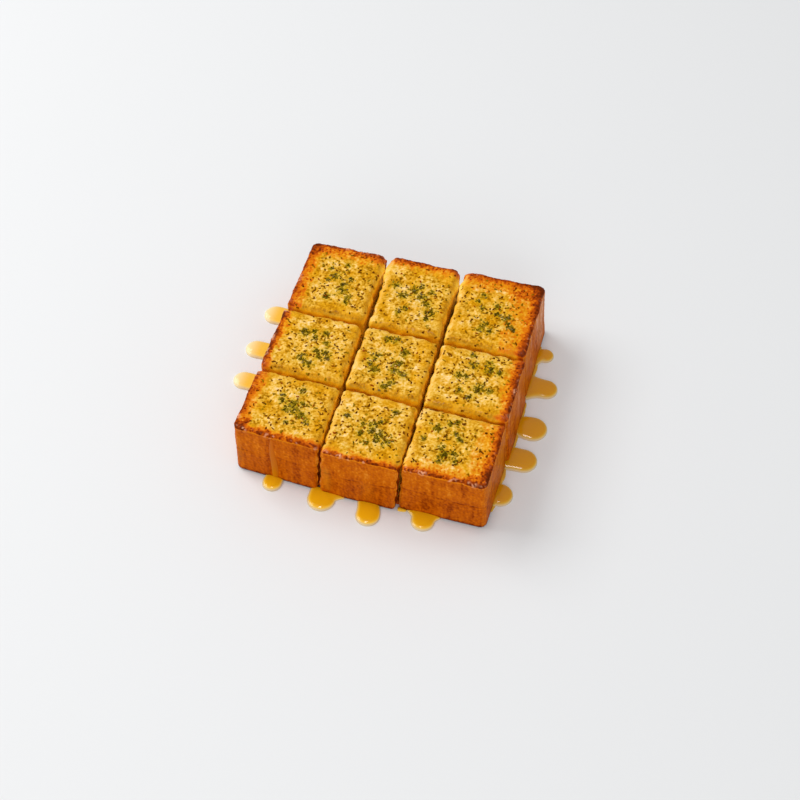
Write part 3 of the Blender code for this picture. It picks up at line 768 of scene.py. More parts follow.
def bread_relief(place, facts):
    """How far the skin stands out, how pale the crumb is from 0 to 1, and the rim's beads. On
    the tops there are lumps and patches over a slow swell, cut by pores; along the toasted edge
    beads and a slow wave; in the crust faces soft hollows and one crease; and along the cuts
    soft bulges, which near the cuts' back ends grow to a share of half the cut's width. The
    crumb is painted paler on its lumps and darker in its pores, as painted light and shade, and
    darker as painted shade on the cut edges that lean right or front."""
    crust, brim = facts["crust"], bell(facts["brim"], BRIM)
    lump = rolling(warped(place, *LUMP_DRIFT, 51), LUMP_SIZE, 2)
    patch = rolling(warped(place, *PATCH_DRIFT, 55), PATCH_SIZE, 54)
    pore_near, _, pore_tag = cells(place, PORE_SPACING, 3)
    pore = fall(pore_near, *PORE_EDGE) * (pore_tag < PORE_SHARE)
    swell = rolling(place, SWELL_SIZE, 4)
    high = LUMP_HEIGHT * (lump - LUMP_SUNK) + SWELL_HEIGHT * (swell - SWELL_SUNK) - PORE_DEPTH * pore
    high *= facts["up"] * (1.0 - facts["rim"]) * (1.0 - BRIM_SMOOTHED * brim)

    bead, _, bead_tag = cells(place, BEAD_SIZE, 5)
    beads = (1.0 - np.minimum(bead, 1.0) ** 2) * lerp(BEAD_LEAST, 1.0, bead_tag)
    wave = np.minimum(rolling(place * WAVED, RIM_WAVE, 6), RIM_WAVE_CREST)
    high += facts["rim"] * (BEAD_HEIGHT * (beads - BEAD_MEAN) + RIM_WAVE_HEIGHT * wave)

    high -= crust * DIMPLE_DEPTH * (0.5 + 0.5 * rolling(place, DIMPLE_SIZE, 7))
    high -= crust * CREASE_DEPTH * crease_line(place)
    bulge = np.minimum(WALL_HEIGHT * (rolling(place, WALL_WAVE, 8) + WALL_LIFT), WALL_PROUD)
    high += bell(facts["knife"], BULGE_REACH) * (bulge + layered(place, EDGE_BUMPS)) * (1.0 - crust)
    high += (facts["cut"] + crust) * layered(place, WALL_GRAIN)
    cut_width = lerp(COLUMN_CUTS[0]["foot"], COLUMN_CUTS[0]["top"][1], place[:, 2] / HEIGHT)
    high += TORN_SHARE * facts["torn"] * cut_width / 2

    # Painted light and shade: the crumb is paler on the lumps and darker in the pores
    level = CRUMB_MEAN + PATCH_TONE * patch + LUMP_PAINTED_LIGHT * lump + layered(place, CRUMB_TONES)
    level = lerp(level - PORE_PAINTED_SHADE * pore, CRUMB_EVEN, BRIM_EVENED * brim)
    # Painted shade: the cut edges that lean right or front are darker, those that lean left or back paler
    level -= LEAN_PAINTED_SHADE * facts["lean"] * bell(facts["knife"], LEAN_REACH)
    return high, np.clip(level, 0.0, 1.0), beads


def glaze_paint(place, facts):
    """How deep the glaze of honey is: in patches, towards the cube's own edges, along the cuts
    where the skin leans right and front as painted shade, and in a band that runs along inside
    the toast."""
    glaze = facts["rich"] + layered(place, GLAZE_PATCHES)
    glaze += BRIM_GLAZE * bell(facts["brim"], BRIM)
    # Painted shade: deeper glaze on the cut edges that lean right or front
    glaze += LEAN_SHADE_GLAZE * facts["lean"] * bell(facts["knife"], LEAN_GLAZE_REACH)
    glaze += BAND_GLAZE * bell(facts["edge"] - BAND_AT, BAND_WIDTH)
    return smooth(glaze)


def toast_paint(place, facts, level, beads):
    """How brown the toast is: browner where the crumb is darker, which takes in its painted shade
    in the pores, charred in stretches along the rim but painted paler on its beads as painted
    light, with dark dots where it is toasted, and browned at the mouths of the cuts."""
    # Painted light: the rim is paler on its beads
    charred = CHAR_MEAN + layered(place, CHAR_TONES) - BEAD_PAINTED_LIGHT * beads
    dots, _, dot_tag = cells(place, DOT_SPACING, 61)
    dot = fall(dots, *DOT_EDGE) * (dot_tag < DOT_SHARE)
    toast = facts["toast"] * (1.0 + TOAST_CONTRAST * (0.5 - level))
    toast += facts["charred"] * np.clip(charred, 0.0, 1.0)
    toast += DOT_TONE * dot * smooth(facts["toast"] / DOT_TOAST) * facts["up"]
    return np.maximum(toast, facts["cut"] * facts["mouth"])


def painted_rim_glints(place, facts):
    """Painted glints, pale highlights of honey on the rim: peaks of a noise where the rim is wet,
    fewer along the right side, and the single larger ones."""
    wet = WET_MEAN + rolling(place, WET_SIZE, 23)
    peaks = rolling(place, GLINT_SIZE, 24) + GLINT_WET * wet
    drop = GLINT_TONE * rise(peaks, *GLINT_PEAK) * smooth(wet / WET_EDGE)
    drop *= 1.0 - DRIER * rise(place[:, 0], *DRY_FROM)
    crumpled = smooth(CRUMPLE_MEAN + CRUMPLE * rolling(place, CRUMPLE_SIZE, 58))
    for *bead, size in RIM_GLINTS:
        drop = np.maximum(drop, bell(distance_in_plan(place, bead), size) * crumpled)
    return drop * facts["rim"] ** GLINT_FULL


def bread_paint(place, facts, level, beads):
    """The numbers that the bread's material reads. The crust faces and cut walls are streaked
    and mottled, with painted shade at the foot, in the crease, under the shoulders of the cuts
    and low on the crust faces, which are painted paler towards their tops. They have streaks of
    honey and painted sheens, pale highlights of honey, each a bell across and fading along its
    height. The film of honey on the left and right faces is partly a painted sheen."""
    (x, y, z), wander, crust, cut = place.T, facts["wander"], facts["crust"], facts["cut"]
    streak = rolling(place * STREAKED, STREAK_WIDTH, 13)
    thread = rolling(place * THREADED, THREAD_WIDTH, 18)
    tall = z / HEIGHT
    sideways = np.abs(x) > HALF_SIDE - SIDE_WITHIN
    front = y < FRONT_WITHIN - HALF_SIDE

    bake = BAKE_MEAN + layered(place, BAKE_TONES) + STREAK_TONE * streak + THREAD_TONE * thread
    bake += TORN_PALER * facts["torn"]
    # Painted shade: darker walls under the cuts' shoulders; crust faces paler above, darker below, in the
    # crease and at the foot
    bake -= cut * rise(tall, *WALL_TOP) * (WALL_SHADE + LEAN_SHADE * np.maximum(facts["lean"], 0.0))
    bake += crust * (UPPER_PAINTED_LIGHT * rise(tall, *UPPER_CRUST) - LOWER_SHADE + SIDE_PALER * sideways)
    bake -= crust * CREASE_SHADE * crease_line(place)
    bake -= crust * FOOT_SHADE * bell(z - CUBE_FOOT, FOOT_REACH)
    bake += crust * front * CORNER_PALER * bell(facts["corner"], CORNER_WIDTH)

    # Painted highlights: pale glints of honey on the rim, and below them pale sheens on the right face
    drop = painted_rim_glints(place, facts)
    broken = crust * (x > 0.0) * smooth(0.5 + SHEEN_STREAKS * streak + SHEEN_THREADS * thread)
    for along, width, base, strength in SHEENS:
        sheen = bell(y - along - SHEEN_STRAY * wander, width) * rise(z, base, SHEEN_FADE)
        drop = np.maximum(drop, broken * strength * sheen)
    # The film on the left and right faces is honey and partly a painted sheen
    film = crust * sideways * SIDE_FILM * rise(rolling(place * WAVED, FILM_SIZE, 28), *FILM_BREAK)
    for along, width, top, base, strength in STREAKS:
        mark = bell(x - along - STREAK_STRAY * wander, width)
        mark *= fall(z, top, STREAK_FADE) * rise(z, base, STREAK_FOOT)
        film = np.maximum(film, crust * front * strength * mark)
    paint = dict(
        crumb=level, glaze=glaze_paint(place, facts), toast=toast_paint(place, facts, level, beads),
        herb=facts["herb"] * (HERB_STAIN + HERB_STRAY * wander), crust=crust, cut=cut, bake=bake,
        film=film, drop=drop, brim=bell(facts["knife"], BRIM) * (1.0 - crust))
    return {key: np.clip(values, 0.0, 1.0) for key, values in paint.items()}


def side_profile(shoulder):
    """From the rim of the top over the shoulder, down the side and round the foot, for each
    radius of the shoulder along the ring. Each row has the part of the shoulder's radius and
    the length in millimetres by which it is drawn in, the heights above the cube's foot, and
    the angle that the skin faces up."""
    whole = HEIGHT - CUBE_FOOT
    rows = []
    for turn in np.linspace(math.pi / 2, 0.0, SHOULDER_ROWS + 1):
        rows.append((1.0 - math.cos(turn), 0.0, whole - shoulder * (1.0 - math.sin(turn)), turn))
    for share in np.linspace(0.0, 1.0, SIDE_ROWS + 1)[1:]:
        rows.append((0.0, 0.0, lerp(whole - shoulder, FOOT_ROUND, share), 0.0))
    for turn in np.linspace(0.0, -math.pi / 2, FOOT_ROWS + 1)[1:]:
        heights = np.full(len(shoulder), FOOT_ROUND * (1.0 + math.sin(turn)))
        rows.append((0.0, FOOT_ROUND * (1.0 - math.cos(turn)), heights, turn))
    return rows


def square_ring():
    """The points of the top's grid that lie on its edge, in order round it."""
    steps = np.arange(TOP_CELLS)
    width = TOP_CELLS + 1
    return np.concatenate([
        steps * width, TOP_CELLS * width + steps,
        (TOP_CELLS - steps) * width + TOP_CELLS, TOP_CELLS - steps,
    ])


def cube_skin(column, row):
    """The points of a cube before the relief: a square grid for its top, from that grid's edge
    a skirt of closed rings, which follow the profile of shoulder, side and foot, and one point
    underneath. Gives them, the ways they face in plan, and the angles by which they face up."""
    middle = [sum(limits(axis, column, row, 0.0, 1.0)) / 2 for axis in (0, 1)]
    half = np.concatenate([
        np.diff(limits(axis, column, row, middle[1 - axis], 1.0)) / 2 for axis in (0, 1)])
    steps = np.linspace(-1.0, 1.0, TOP_CELLS + 1)
    grid = np.stack(np.meshgrid(steps, steps, indexing="ij"), axis=-1).reshape(-1, 2)
    size = np.abs(grid).max(axis=1)
    edge = grid / np.maximum(size, 1e-9)[:, None]
    outline, away = rounded_outline(edge, half, column, row)
    share = drawn_in(outline / half * size[:, None], 1.0, column, row, half)
    top = cube_place(column, row, share, np.full(len(share), HEIGHT - CUBE_FOOT))

    ring = square_ring()
    parts, insets, heights, angles = zip(*side_profile(shoulder_radius(column, row, away[ring]))[1:])
    skirt_share = np.concatenate([
        drawn_in(outline[ring] / half, part, column, row, half) * (1.0 - inset / half)
        for part, inset in zip(parts, insets)])
    skirt = cube_place(column, row, skirt_share, np.concatenate(heights))

    place = np.concatenate([top, skirt, [[*middle, CUBE_FOOT]]])
    plan_away = np.concatenate([away, np.tile(away[ring], (len(parts), 1)), [[0.0, 0.0]]])
    lift = np.concatenate([
        np.full(len(top), math.pi / 2), np.repeat(angles, len(ring)), [-math.pi / 2]])
    return place, plan_away, lift


def cube_faces(count):
    """The faces between a cube's points: those of the top's grid, those between the skirt's
    rings, and a fan of triangles from the last ring to the last point."""
    width = TOP_CELLS + 1
    i, j = np.meshgrid(np.arange(TOP_CELLS), np.arange(TOP_CELLS), indexing="ij")
    corner = (i * width + j).ravel()
    top = np.stack([corner, corner + width, corner + width + 1, corner + 1], axis=1)
    ring = square_ring()
    rings = np.concatenate([ring, np.arange(width ** 2, count - 1)])
    skirt = rings[strip_quads(len(rings) // len(ring), len(ring))]
    last = rings[-len(ring):]
    under = np.stack([last, np.full(len(ring), count - 1), np.roll(last, -1)], axis=1)
    return np.concatenate([top, skirt]), under


def bread_cube(column, row, finish):
    """One cube: every point of its skin is moved along the way it faces by the relief, which
    fades out towards the foot. Gives the points of its top and shoulders, and the ways they
    face, for what lies on them."""
    place, away, lift = cube_skin(column, row)
    normal = np.concatenate([away * np.cos(lift)[:, None], np.sin(lift)[:, None]], axis=1)
    up = np.maximum(np.sin(lift), 0.0)
    facts = bread_facts(place, up, away, column, row)
    high, level, beads = bread_relief(place, facts)
    verts = place + normal * (high * rise(place[:, 2], 0.0, RELIEF_FULL))[:, None]
    quads, under = cube_faces(len(place))
    surface(
        f"cube_{COLUMNS[column]}_{ROWS[row]}", verts, quads, finish, triangles=under,
        facts=bread_paint(place, facts, level, beads))
    upper = up > SKIN_UP
    return verts[upper], normal[upper]


def least_foot(side):
    """The place of the foot where that face of the slab comes out the least."""
    _, way, cubes = FACES[side]
    return min((foot for cube in cubes for foot in cube[2:]), key=lambda foot: way * foot)


def crust_floor(finish):
    """The bottom crust: a round-cornered rectangle carried along a profile from the middle of
    its top, round its edge, to the middle of its underside."""
    low = np.array([least_foot("left"), least_foot("front")]) + FLOOR_INSET
    high = np.array([least_foot("right"), least_foot("back")]) - FLOOR_INSET
    half, middle = (high - low) / 2, (high + low) / 2
    turn = np.linspace(0.0, 2.0 * math.pi, FLOOR_SIDES, endpoint=False) + math.pi / 4
    round_way = np.stack([np.cos(turn), np.sin(turn)], axis=1)
    square = round_way / np.abs(round_way).max(axis=1, keepdims=True)
    inner = np.clip(square * half, SLAB_CORNER - half, half - SLAB_CORNER)
    off = square * half - inner
    off /= np.linalg.norm(off, axis=1, keepdims=True)
    bend = np.linspace(math.pi / 2, -math.pi / 2, FLOOR_BENDS)
    share = np.concatenate([[0.0, 0.5], np.ones(FLOOR_BENDS), [0.0]])
    outward = np.concatenate([[0.0, 0.0], FLOOR_ROUND * (np.cos(bend) - 1.0), [0.0]])
    z = np.concatenate([[FLOOR_TOP, FLOOR_TOP], FLOOR_TOP / 2 * (1.0 + np.sin(bend)), [0.0]])
    rings = inner + off * (SLAB_CORNER + outward[:, None, None])
    rings = middle + share[:, None, None] * rings
    verts = np.concatenate([rings, np.broadcast_to(z[:, None, None], (*rings.shape[:2], 1))], axis=2)
    verts = verts.reshape(-1, 3)
    facts = dict(crumb=0.3, glaze=1.0, herb=0.0, toast=0.7, crust=1.0, cut=0.0, bake=0.3, film=0.0,
                 drop=0.0, brim=0.0)
    return surface(
        "crust_floor", verts, strip_quads(len(z), len(turn)), finish,
        facts={key: np.full(len(verts), value) for key, value in facts.items()})


# ---------------------------------------------------------------- parsley and flecks

FLAKE_SIDES = 8
FLAKE_ROWS = 5
FLAKE_JAG = 0.3             # how far an outline is drawn in and out, as a share of its radius
FLAKE_BEND = 0.8            # the most that a flake bends sideways
FLAKE_CURL = (-0.3, 0.5)    # how far its ends curl down and up
FLAKE_TILT = 0.2

CLUMP_LEAST = 4             # bits in a clump, and more for each millimetre of its length squared
CLUMP_BITS = 1.25
CLUMP_SPREAD = 0.31         # how far they are strewn, as a share of its length
CLUMP_HEART = 0.45          # and how far its dark, heaped heart reaches
CLUMP_HEAP = 0.25           # how much higher the bits lie there
BIT_LENGTHS = (0.9, 1.7)
BIT_WIDTHS = (0.45, 0.75)   # as shares of their lengths
BIT_THICK = (0.1, 0.2)
BIT_PALEST = 0.7            # tones are drawn between 0, nearly black, and this one
BIT_TONE_POWER = 1.2        # and made darker by this power
BIT_PALER = 0.35            # but paler by this away from the clump's heart
BIT_HIGH = 0.05             # how high the middle of a bit lies on the skin
DUSTY_SHARE = 0.13          # bits of the heart that are dusty grey green
DUSTY_TONE = 0.95
STRAY_BITS = 30             # loose bits round the clumps of each cube
STRAY_SPREAD = 6.0
STRAY_LENGTHS = (0.7, 1.4)
STRAY_TONES = (0.2, 0.8)

FLECKS = 115                # on each top
FLECK_GATHER = 0.3          # share of them that lie round the herbs
FLECK_SPREAD = 9.0
FLECK_HIGH = 0.04           # how high the middle of a fleck lies on the skin
FLECK_LENGTH = 1.0          # of the shortest
FLECK_VARIES = 0.9          # how much longer the others are
FLECK_LONGER = 1.0          # and by how much more a few of them
FLECK_SLIMMER = 0.35        # how much narrower those few are
FLECK_WIDTHS = (0.8, 1.25)
FLECK_THICK = (0.12, 0.24)
RIM_CLEAR = 4.0             # no fleck lies nearer than this to the slab's own faces
SEED = 11


def laid_on(skin, x, y, lift):
    """The points of a cube's skin that are nearest in plan to these places, raised by `lift`
    along the ways that the skin faces there, and those ways."""
    verts, normals = skin
    near = [np.argmin((verts[:, 0] - u) ** 2 + (verts[:, 1] - v) ** 2) for u, v in zip(x, y)]
    return verts[near] + normals[near] * np.reshape(lift, (-1, 1)), normals[near]


def open_part(key, skin):
    """The lowest and highest places where flecks may lie on this cube."""
    low, high = skin[0][:, :2].min(axis=0), skin[0][:, :2].max(axis=0)
    for side in outer_sides(COLUMNS.index(key[0]), ROWS.index(key[1])):
        axis, way, _ = FACES[side]
        (high if way > 0 else low)[axis] -= way * RIM_CLEAR
    return low, high


def flakes(name, centres, normals, lengths, widths, thick, tones, rng, finish):
    """Many small leaf bits in one mesh. Each is a thin closed lens: rings from pole to pole,
    pulled into a jagged outline, bent sideways and curled up by the square of the place along
    its length, tilted, turned at random, and laid on the skin by that skin's own directions."""
    count = len(centres)
    lengths, widths, thick = (np.reshape(size, (count, 1, 1)) for size in (lengths, widths, thick))
    turn = np.linspace(0.0, 2.0 * math.pi, FLAKE_SIDES, endpoint=False)
    down = np.linspace(0.0, math.pi, FLAKE_ROWS)[:, None]
    jag = 1.0 + FLAKE_JAG * rng.uniform(-1.0, 1.0, (count, 1, FLAKE_SIDES))
    x = np.sin(down) * np.cos(turn) * jag * lengths / 2
    y = np.sin(down) * np.sin(turn) * jag * widths / 2
    z = np.cos(down) * thick / 2
    bend = rng.uniform(-FLAKE_BEND, FLAKE_BEND, (count, 1, 1))
    curl = rng.uniform(*FLAKE_CURL, (count, 1, 1))
    y = y + bend * x * x / lengths
    z = z + curl * x * x / lengths + rng.uniform(-FLAKE_TILT, FLAKE_TILT, (count, 1, 1)) * x
    turns = rng.uniform(0.0, 2.0 * math.pi, (count, 1, 1))
    x, y = x * np.cos(turns) - y * np.sin(turns), x * np.sin(turns) + y * np.cos(turns)
    first = np.stack([normals[:, 2], np.zeros(count), -normals[:, 0]], axis=1)
    first /= np.linalg.norm(first, axis=1, keepdims=True)
    second = np.cross(normals, first)
    placed = centres[:, None, None, :] + sum(
        value[..., None] * way[:, None, None, :] for value, way in ((x, first), (y, second), (z, normals)))
    one = strip_quads(FLAKE_ROWS, FLAKE_SIDES)
    quads = (one[None] + (np.arange(count) * FLAKE_ROWS * FLAKE_SIDES)[:, None, None]).reshape(-1, 4)
    tone = np.repeat(tones, FLAKE_ROWS * FLAKE_SIDES)
    return surface(name, placed.reshape(-1, 3), quads, finish, facts=dict(tone=tone))


def parsley(skins, finish):
    """Leaf bits heaped in each clump, dark in its middle, with loose ones further out."""
    rng = np.random.default_rng(SEED)
    centres, normals, lengths, tones = [], [], [], []
    for key, clumps in PARSLEY_CLUMPS.items():
        for clump_x, clump_y, length in clumps:
            count = CLUMP_LEAST + round(CLUMP_BITS * length ** 2)
            off = rng.normal(0.0, CLUMP_SPREAD * length, (count, 2))
            near = bell(np.linalg.norm(off, axis=1), CLUMP_HEART * length)
            lift = BIT_HIGH + CLUMP_HEAP * near * rng.random(count)
            place, normal = laid_on(skins[key], clump_x + off[:, 0], clump_y + off[:, 1], lift)
            centres.append(place)
            normals.append(normal)
            lengths.append(rng.uniform(*BIT_LENGTHS, count))
            tone = rng.uniform(0.0, BIT_PALEST, count) ** BIT_TONE_POWER + BIT_PALER * (1.0 - near)
            tones.append(np.where(rng.random(count) < DUSTY_SHARE * near, DUSTY_TONE, tone))
        middle = np.mean(clumps, axis=0)[:2]
        place = middle + rng.normal(0.0, STRAY_SPREAD, (STRAY_BITS, 2))
        place, normal = laid_on(skins[key], place[:, 0], place[:, 1], BIT_HIGH)
        centres.append(place)
        normals.append(normal)
        lengths.append(rng.uniform(*STRAY_LENGTHS, STRAY_BITS))
        tones.append(rng.uniform(*STRAY_TONES, STRAY_BITS))
    lengths = np.concatenate(lengths)
    widths = lengths * rng.uniform(*BIT_WIDTHS, len(lengths))
    thick = rng.uniform(*BIT_THICK, len(lengths))
    tones = np.clip(np.concatenate(tones), 0.0, 1.0)
    return flakes(
        "parsley", np.concatenate(centres), np.concatenate(normals), lengths, widths, thick, tones,
        rng, finish)


def flecks(skins, finish):
    """Short dark flecks strewn over the tops and shoulders, some gathered round the herbs. Most
    are dots, and a few are longer."""
    rng = np.random.default_rng(SEED + 1)
    centres, normals = [], []
    for key, skin in skins.items():
        low, high = open_part(key, skin)
        gathered = rng.random((FLECKS, 1)) < FLECK_GATHER
        middle = np.mean(PARSLEY_CLUMPS[key], axis=0)[:2]
        place = np.where(
            gathered, middle + rng.normal(0.0, FLECK_SPREAD, (FLECKS, 2)),
            rng.uniform(low, high, (FLECKS, 2)))
        place = place[((place > low) & (place < high)).all(axis=1)]
        place, normal = laid_on(skin, place[:, 0], place[:, 1], FLECK_HIGH)
        centres.append(place)
        normals.append(normal)
    centres = np.concatenate(centres)
    count = len(centres)
    longer = rng.random(count) ** 4
    lengths = FLECK_LENGTH + FLECK_VARIES * rng.random(count) + FLECK_LONGER * longer
    widths = rng.uniform(*FLECK_WIDTHS, count) * (1.0 - FLECK_SLIMMER * longer)
    thick = rng.uniform(*FLECK_THICK, count)
    tones = rng.random(count)
    return flakes(
        "flecks", centres, np.concatenate(normals), lengths, widths, thick, tones, rng, finish)


# ---------------------------------------------------------------- honey

HONEY_LIFT = 0.02           # all honey lies this little above the flat underside
POOL_THICK = 1.9
POOL_DOME = 0.8             # below 1 the dome is fuller than a half-round
POOL_NARROW = 0.5           # how much thinner a narrow pool is: the power of its share
POOL_CLEARANCE = 0.35
POOL_TUCK = 2.5             # how far a pool runs in under the bread
POOL_RIM = (1.4, 2.8)       # from outline to full colour: at the back right, and front left
LIT_WAY = (-0.7, -0.7)      # front left, where the light shines through the rim
TIP_LIGHT_FROM = (0.55, 0.45)    # share of a pool's reach from which its tip is painted paler, as painted light shining through
POOL_ROWS = 60
POOL_SIDES = 72
# How deep the honey's colour is on each side, how olive as painted shade, and how pale at the tips as
# painted light
POOL_TONE = {"left": (0.5, 0.0, 0.85), "front": (1.0, 0.0, 0.0), "right": (1.0, 1.0, 0.0)}
# By side: place of the tip along the side, reach from the wall, width of the head, and how far
# the neck spreads from the tip towards the lower and the higher end of the side
POOLS = {
    "left": ((36.4, 19.4, 12.6, 5.5, 5.0), (10.8, 21.0, 11.6, 5.0, 5.0), (-11.0, 20.1, 11.3, 4.5, 5.0)),
    "front": ((-43.3, 7.4, 10.0, 4.8, 5.0), (-17.0, 10.2, 14.2, 7.0, 11.0),
              (7.6, 12.2, 12.2, 7.2, 4.4), (34.2, 9.3, 11.8, 9.2, 8.0)),
    "right": ((-44.4, 7.7, 13.2, 7.8, 6.8), (-21.3, 13.4, 14.2, 7.5, 7.2), (-0.7, 14.1, 15.0, 6.4, 6.6),
              (26.2, 14.4, 12.4, 9.4, 7.4), (48.2, 7.8, 9.2, 9.0, 3.8)),
}

RUN_AT = -42.6              # the run down the front: its place, both ends and its width
RUN_TOP = 32.0
RUN_FOOT = 0.4
RUN_WIDTH = 4.2
RUN_PROUD = 0.6
RUN_THIN = 0.55             # its width at the top, as a share of that at the foot
RUN_BLUNT = 0.5             # how blunt its ends are: the power of a half-round
RUN_WIGGLE = (0.35, 5.0)    # how far it winds and over what length
RUN_DEEPENS = 1.5           # the power by which its colour deepens downwards
RUN_PALER = 0.25            # half of how much paler it is on its right
RUN_ROWS = 60
RUN_SIDES = 24

SEEP_ROWS = 2               # to each millimetre, but at least so many
SEEP_LEAST = 24
SEEP_SIDES = 16
SEEP_TUCK = 0.8
SEEP_THICK = 0.9
SEEP_DEPTH = (0.3, 0.8)     # of its colour, from the foot to its full thickness
SEEP_WAVER = ((0.4, 6.0, 21), (0.2, 2.5, 22))       # as shares of its width
# Low beads of honey along the foot of a cube's face: the side, the cube, both ends and the width
SEEPS = (
    ("right", 0, -55.0, -26.0, 1.4), ("right", 1, -25.0, 15.0, 1.1), ("right", 2, 17.0, 54.0, 1.4),
    ("front", 0, -24.0, -20.5, 1.6), ("front", 2, 20.5, 25.0, 1.2),
)


def pool_side(t, reach, head, neck):
    """How wide a tongue is on one side of its tip, at t from the wall: a round head, and behind
    it a curve that flares or narrows to the neck at the wall."""
    centre = reach - head / 2
    round_head = np.sqrt(np.maximum((head / 2) ** 2 - (t - centre) ** 2, 0.0))
    throat = lerp(head / 2, neck, np.clip((centre - t) / centre, 0.0, 1.0) ** 2)
    return np.where(t >= centre, round_head, throat)


def pool_wall(side, tip, neck_low, neck_high):
    """The place of the cube's foot that a pool comes from, where it comes out the most."""
    axis, way, _ = FACES[side]
    cuts = COLUMN_CUTS if axis else ROW_CUTS
    number = sum(tip > (cut["start"] + cut["end"]) / 2 for cut in cuts)
    feet = [face_at(side, number, value, 0.0) for value in (tip - neck_low, tip + neck_high)]
    return max(feet, key=lambda foot: way * foot)


def honey_pool(side, number, tip, reach, head, neck_low, neck_high, finish):
    """A tongue of honey: at each place along it a closed cross-section, flat below and domed
    above by a power of a half-round, as wide as the tongue is there and thinner where that is
    narrow. The tip is a pole, and the other end is shut under the bread's foot. The colour
    deepens from the outline inwards, more slowly on the side that the light shines through, as
    painted light."""
    bend = np.linspace(0.0, math.pi / 2, POOL_ROWS)
    t = -POOL_TUCK + (reach + POOL_TUCK) * np.sin(bend)
    low, high = (pool_side(t, reach, head, neck) for neck in (neck_low, neck_high))
    turn = np.linspace(0.0, 2.0 * math.pi, POOL_SIDES, endpoint=False)
    across = np.cos(turn)[None, :]
    along = np.where(across > 0.0, across * high[:, None], across * low[:, None])
    out = np.broadcast_to(t[:, None], along.shape)
    bulk = np.minimum(np.minimum(low, high) / (head / 2), 1.0) ** POOL_NARROW
    thickness = POOL_THICK * bulk[:, None] * np.maximum(np.sin(turn), 0.0) ** POOL_DOME
    axis, way, _ = FACES[side]
    verts = np.zeros((*along.shape, 3))
    verts[..., axis] = pool_wall(side, tip, neck_low, neck_high) + way * (POOL_CLEARANCE + out)
    verts[..., 1 - axis] = tip + along
    verts[..., 2] = thickness + HONEY_LIFT
    centre = reach - head / 2
    width = np.where(across > 0.0, high[:, None], low[:, None])
    inside = np.where(
        out > centre, head / 2 - np.hypot(along, out - centre), width * (1.0 - np.abs(across)))
    head_middle = verts[0, :, :2].mean(axis=0)
    head_middle[axis] += way * (centre + POOL_TUCK)
    towards = verts[..., :2] - head_middle
    towards /= np.maximum(np.linalg.norm(towards, axis=-1, keepdims=True), 1e-9)
    rim = lerp(*POOL_RIM, 0.5 + 0.5 * (towards @ np.array(LIT_WAY)))
    # Painted shade: olive pools in the bread's shade; painted light: pale tips and a wider pale rim
    # towards the light
    tone, olive, painted_tip_light = POOL_TONE[side]
    depth = np.append(tone * smooth(inside / rim), 0.0)
    pale = np.append(painted_tip_light * rise(out / reach, *TIP_LIGHT_FROM), 0.0)
    start = verts[0].mean(axis=0, keepdims=True)
    verts = np.concatenate([verts.reshape(-1, 3), start])
    quads = strip_quads(POOL_ROWS, POOL_SIDES)
    first = np.arange(POOL_SIDES)
    cap = np.stack([first, np.roll(first, -1), np.full(POOL_SIDES, len(verts) - 1)], axis=1)
    if (way > 0) == (axis == 0):
        quads, cap = quads[:, ::-1], cap[:, ::-1]
    name = f"honey_{side}_{number}"
    return surface(
        name + "_pool", verts, quads, finish, triangles=cap,
        facts=dict(depth=depth, olive=np.full(len(verts), olive), pale=pale),
        nodes=(name,))


def honey_run(finish):
    """The run down the front face: closed oval cross-sections from its thin top to its full
    foot, each moved sideways along a sine. Its colour deepens towards the foot and the left."""
    down = np.linspace(0.0, math.pi, RUN_ROWS)
    share = ((1.0 - np.cos(down)) / 2)[:, None]
    fullness = lerp(RUN_THIN, 1.0, share) * np.sin(down)[:, None] ** RUN_BLUNT
    z = lerp(RUN_TOP, RUN_FOOT, share)
    turn = np.linspace(0.0, 2.0 * math.pi, RUN_SIDES, endpoint=False)
    sway, length = RUN_WIGGLE
    x = RUN_AT + sway * np.sin(z / length) + RUN_WIDTH / 2 * fullness * np.cos(turn)
    y = face_at("front", 0, RUN_AT, z / HEIGHT) + DIMPLE_DEPTH / 2
    y = y + (RUN_PROUD + DIMPLE_DEPTH) * fullness * np.sin(turn)
    verts = np.stack([x, y, np.broadcast_to(z, x.shape)], axis=-1).reshape(-1, 3)
    depth = share ** RUN_DEEPENS * (1.0 - RUN_PALER * (1.0 + np.cos(turn)))
    return surface(
        "honey_run", verts, strip_quads(RUN_ROWS, RUN_SIDES), finish, facts=dict(depth=depth))


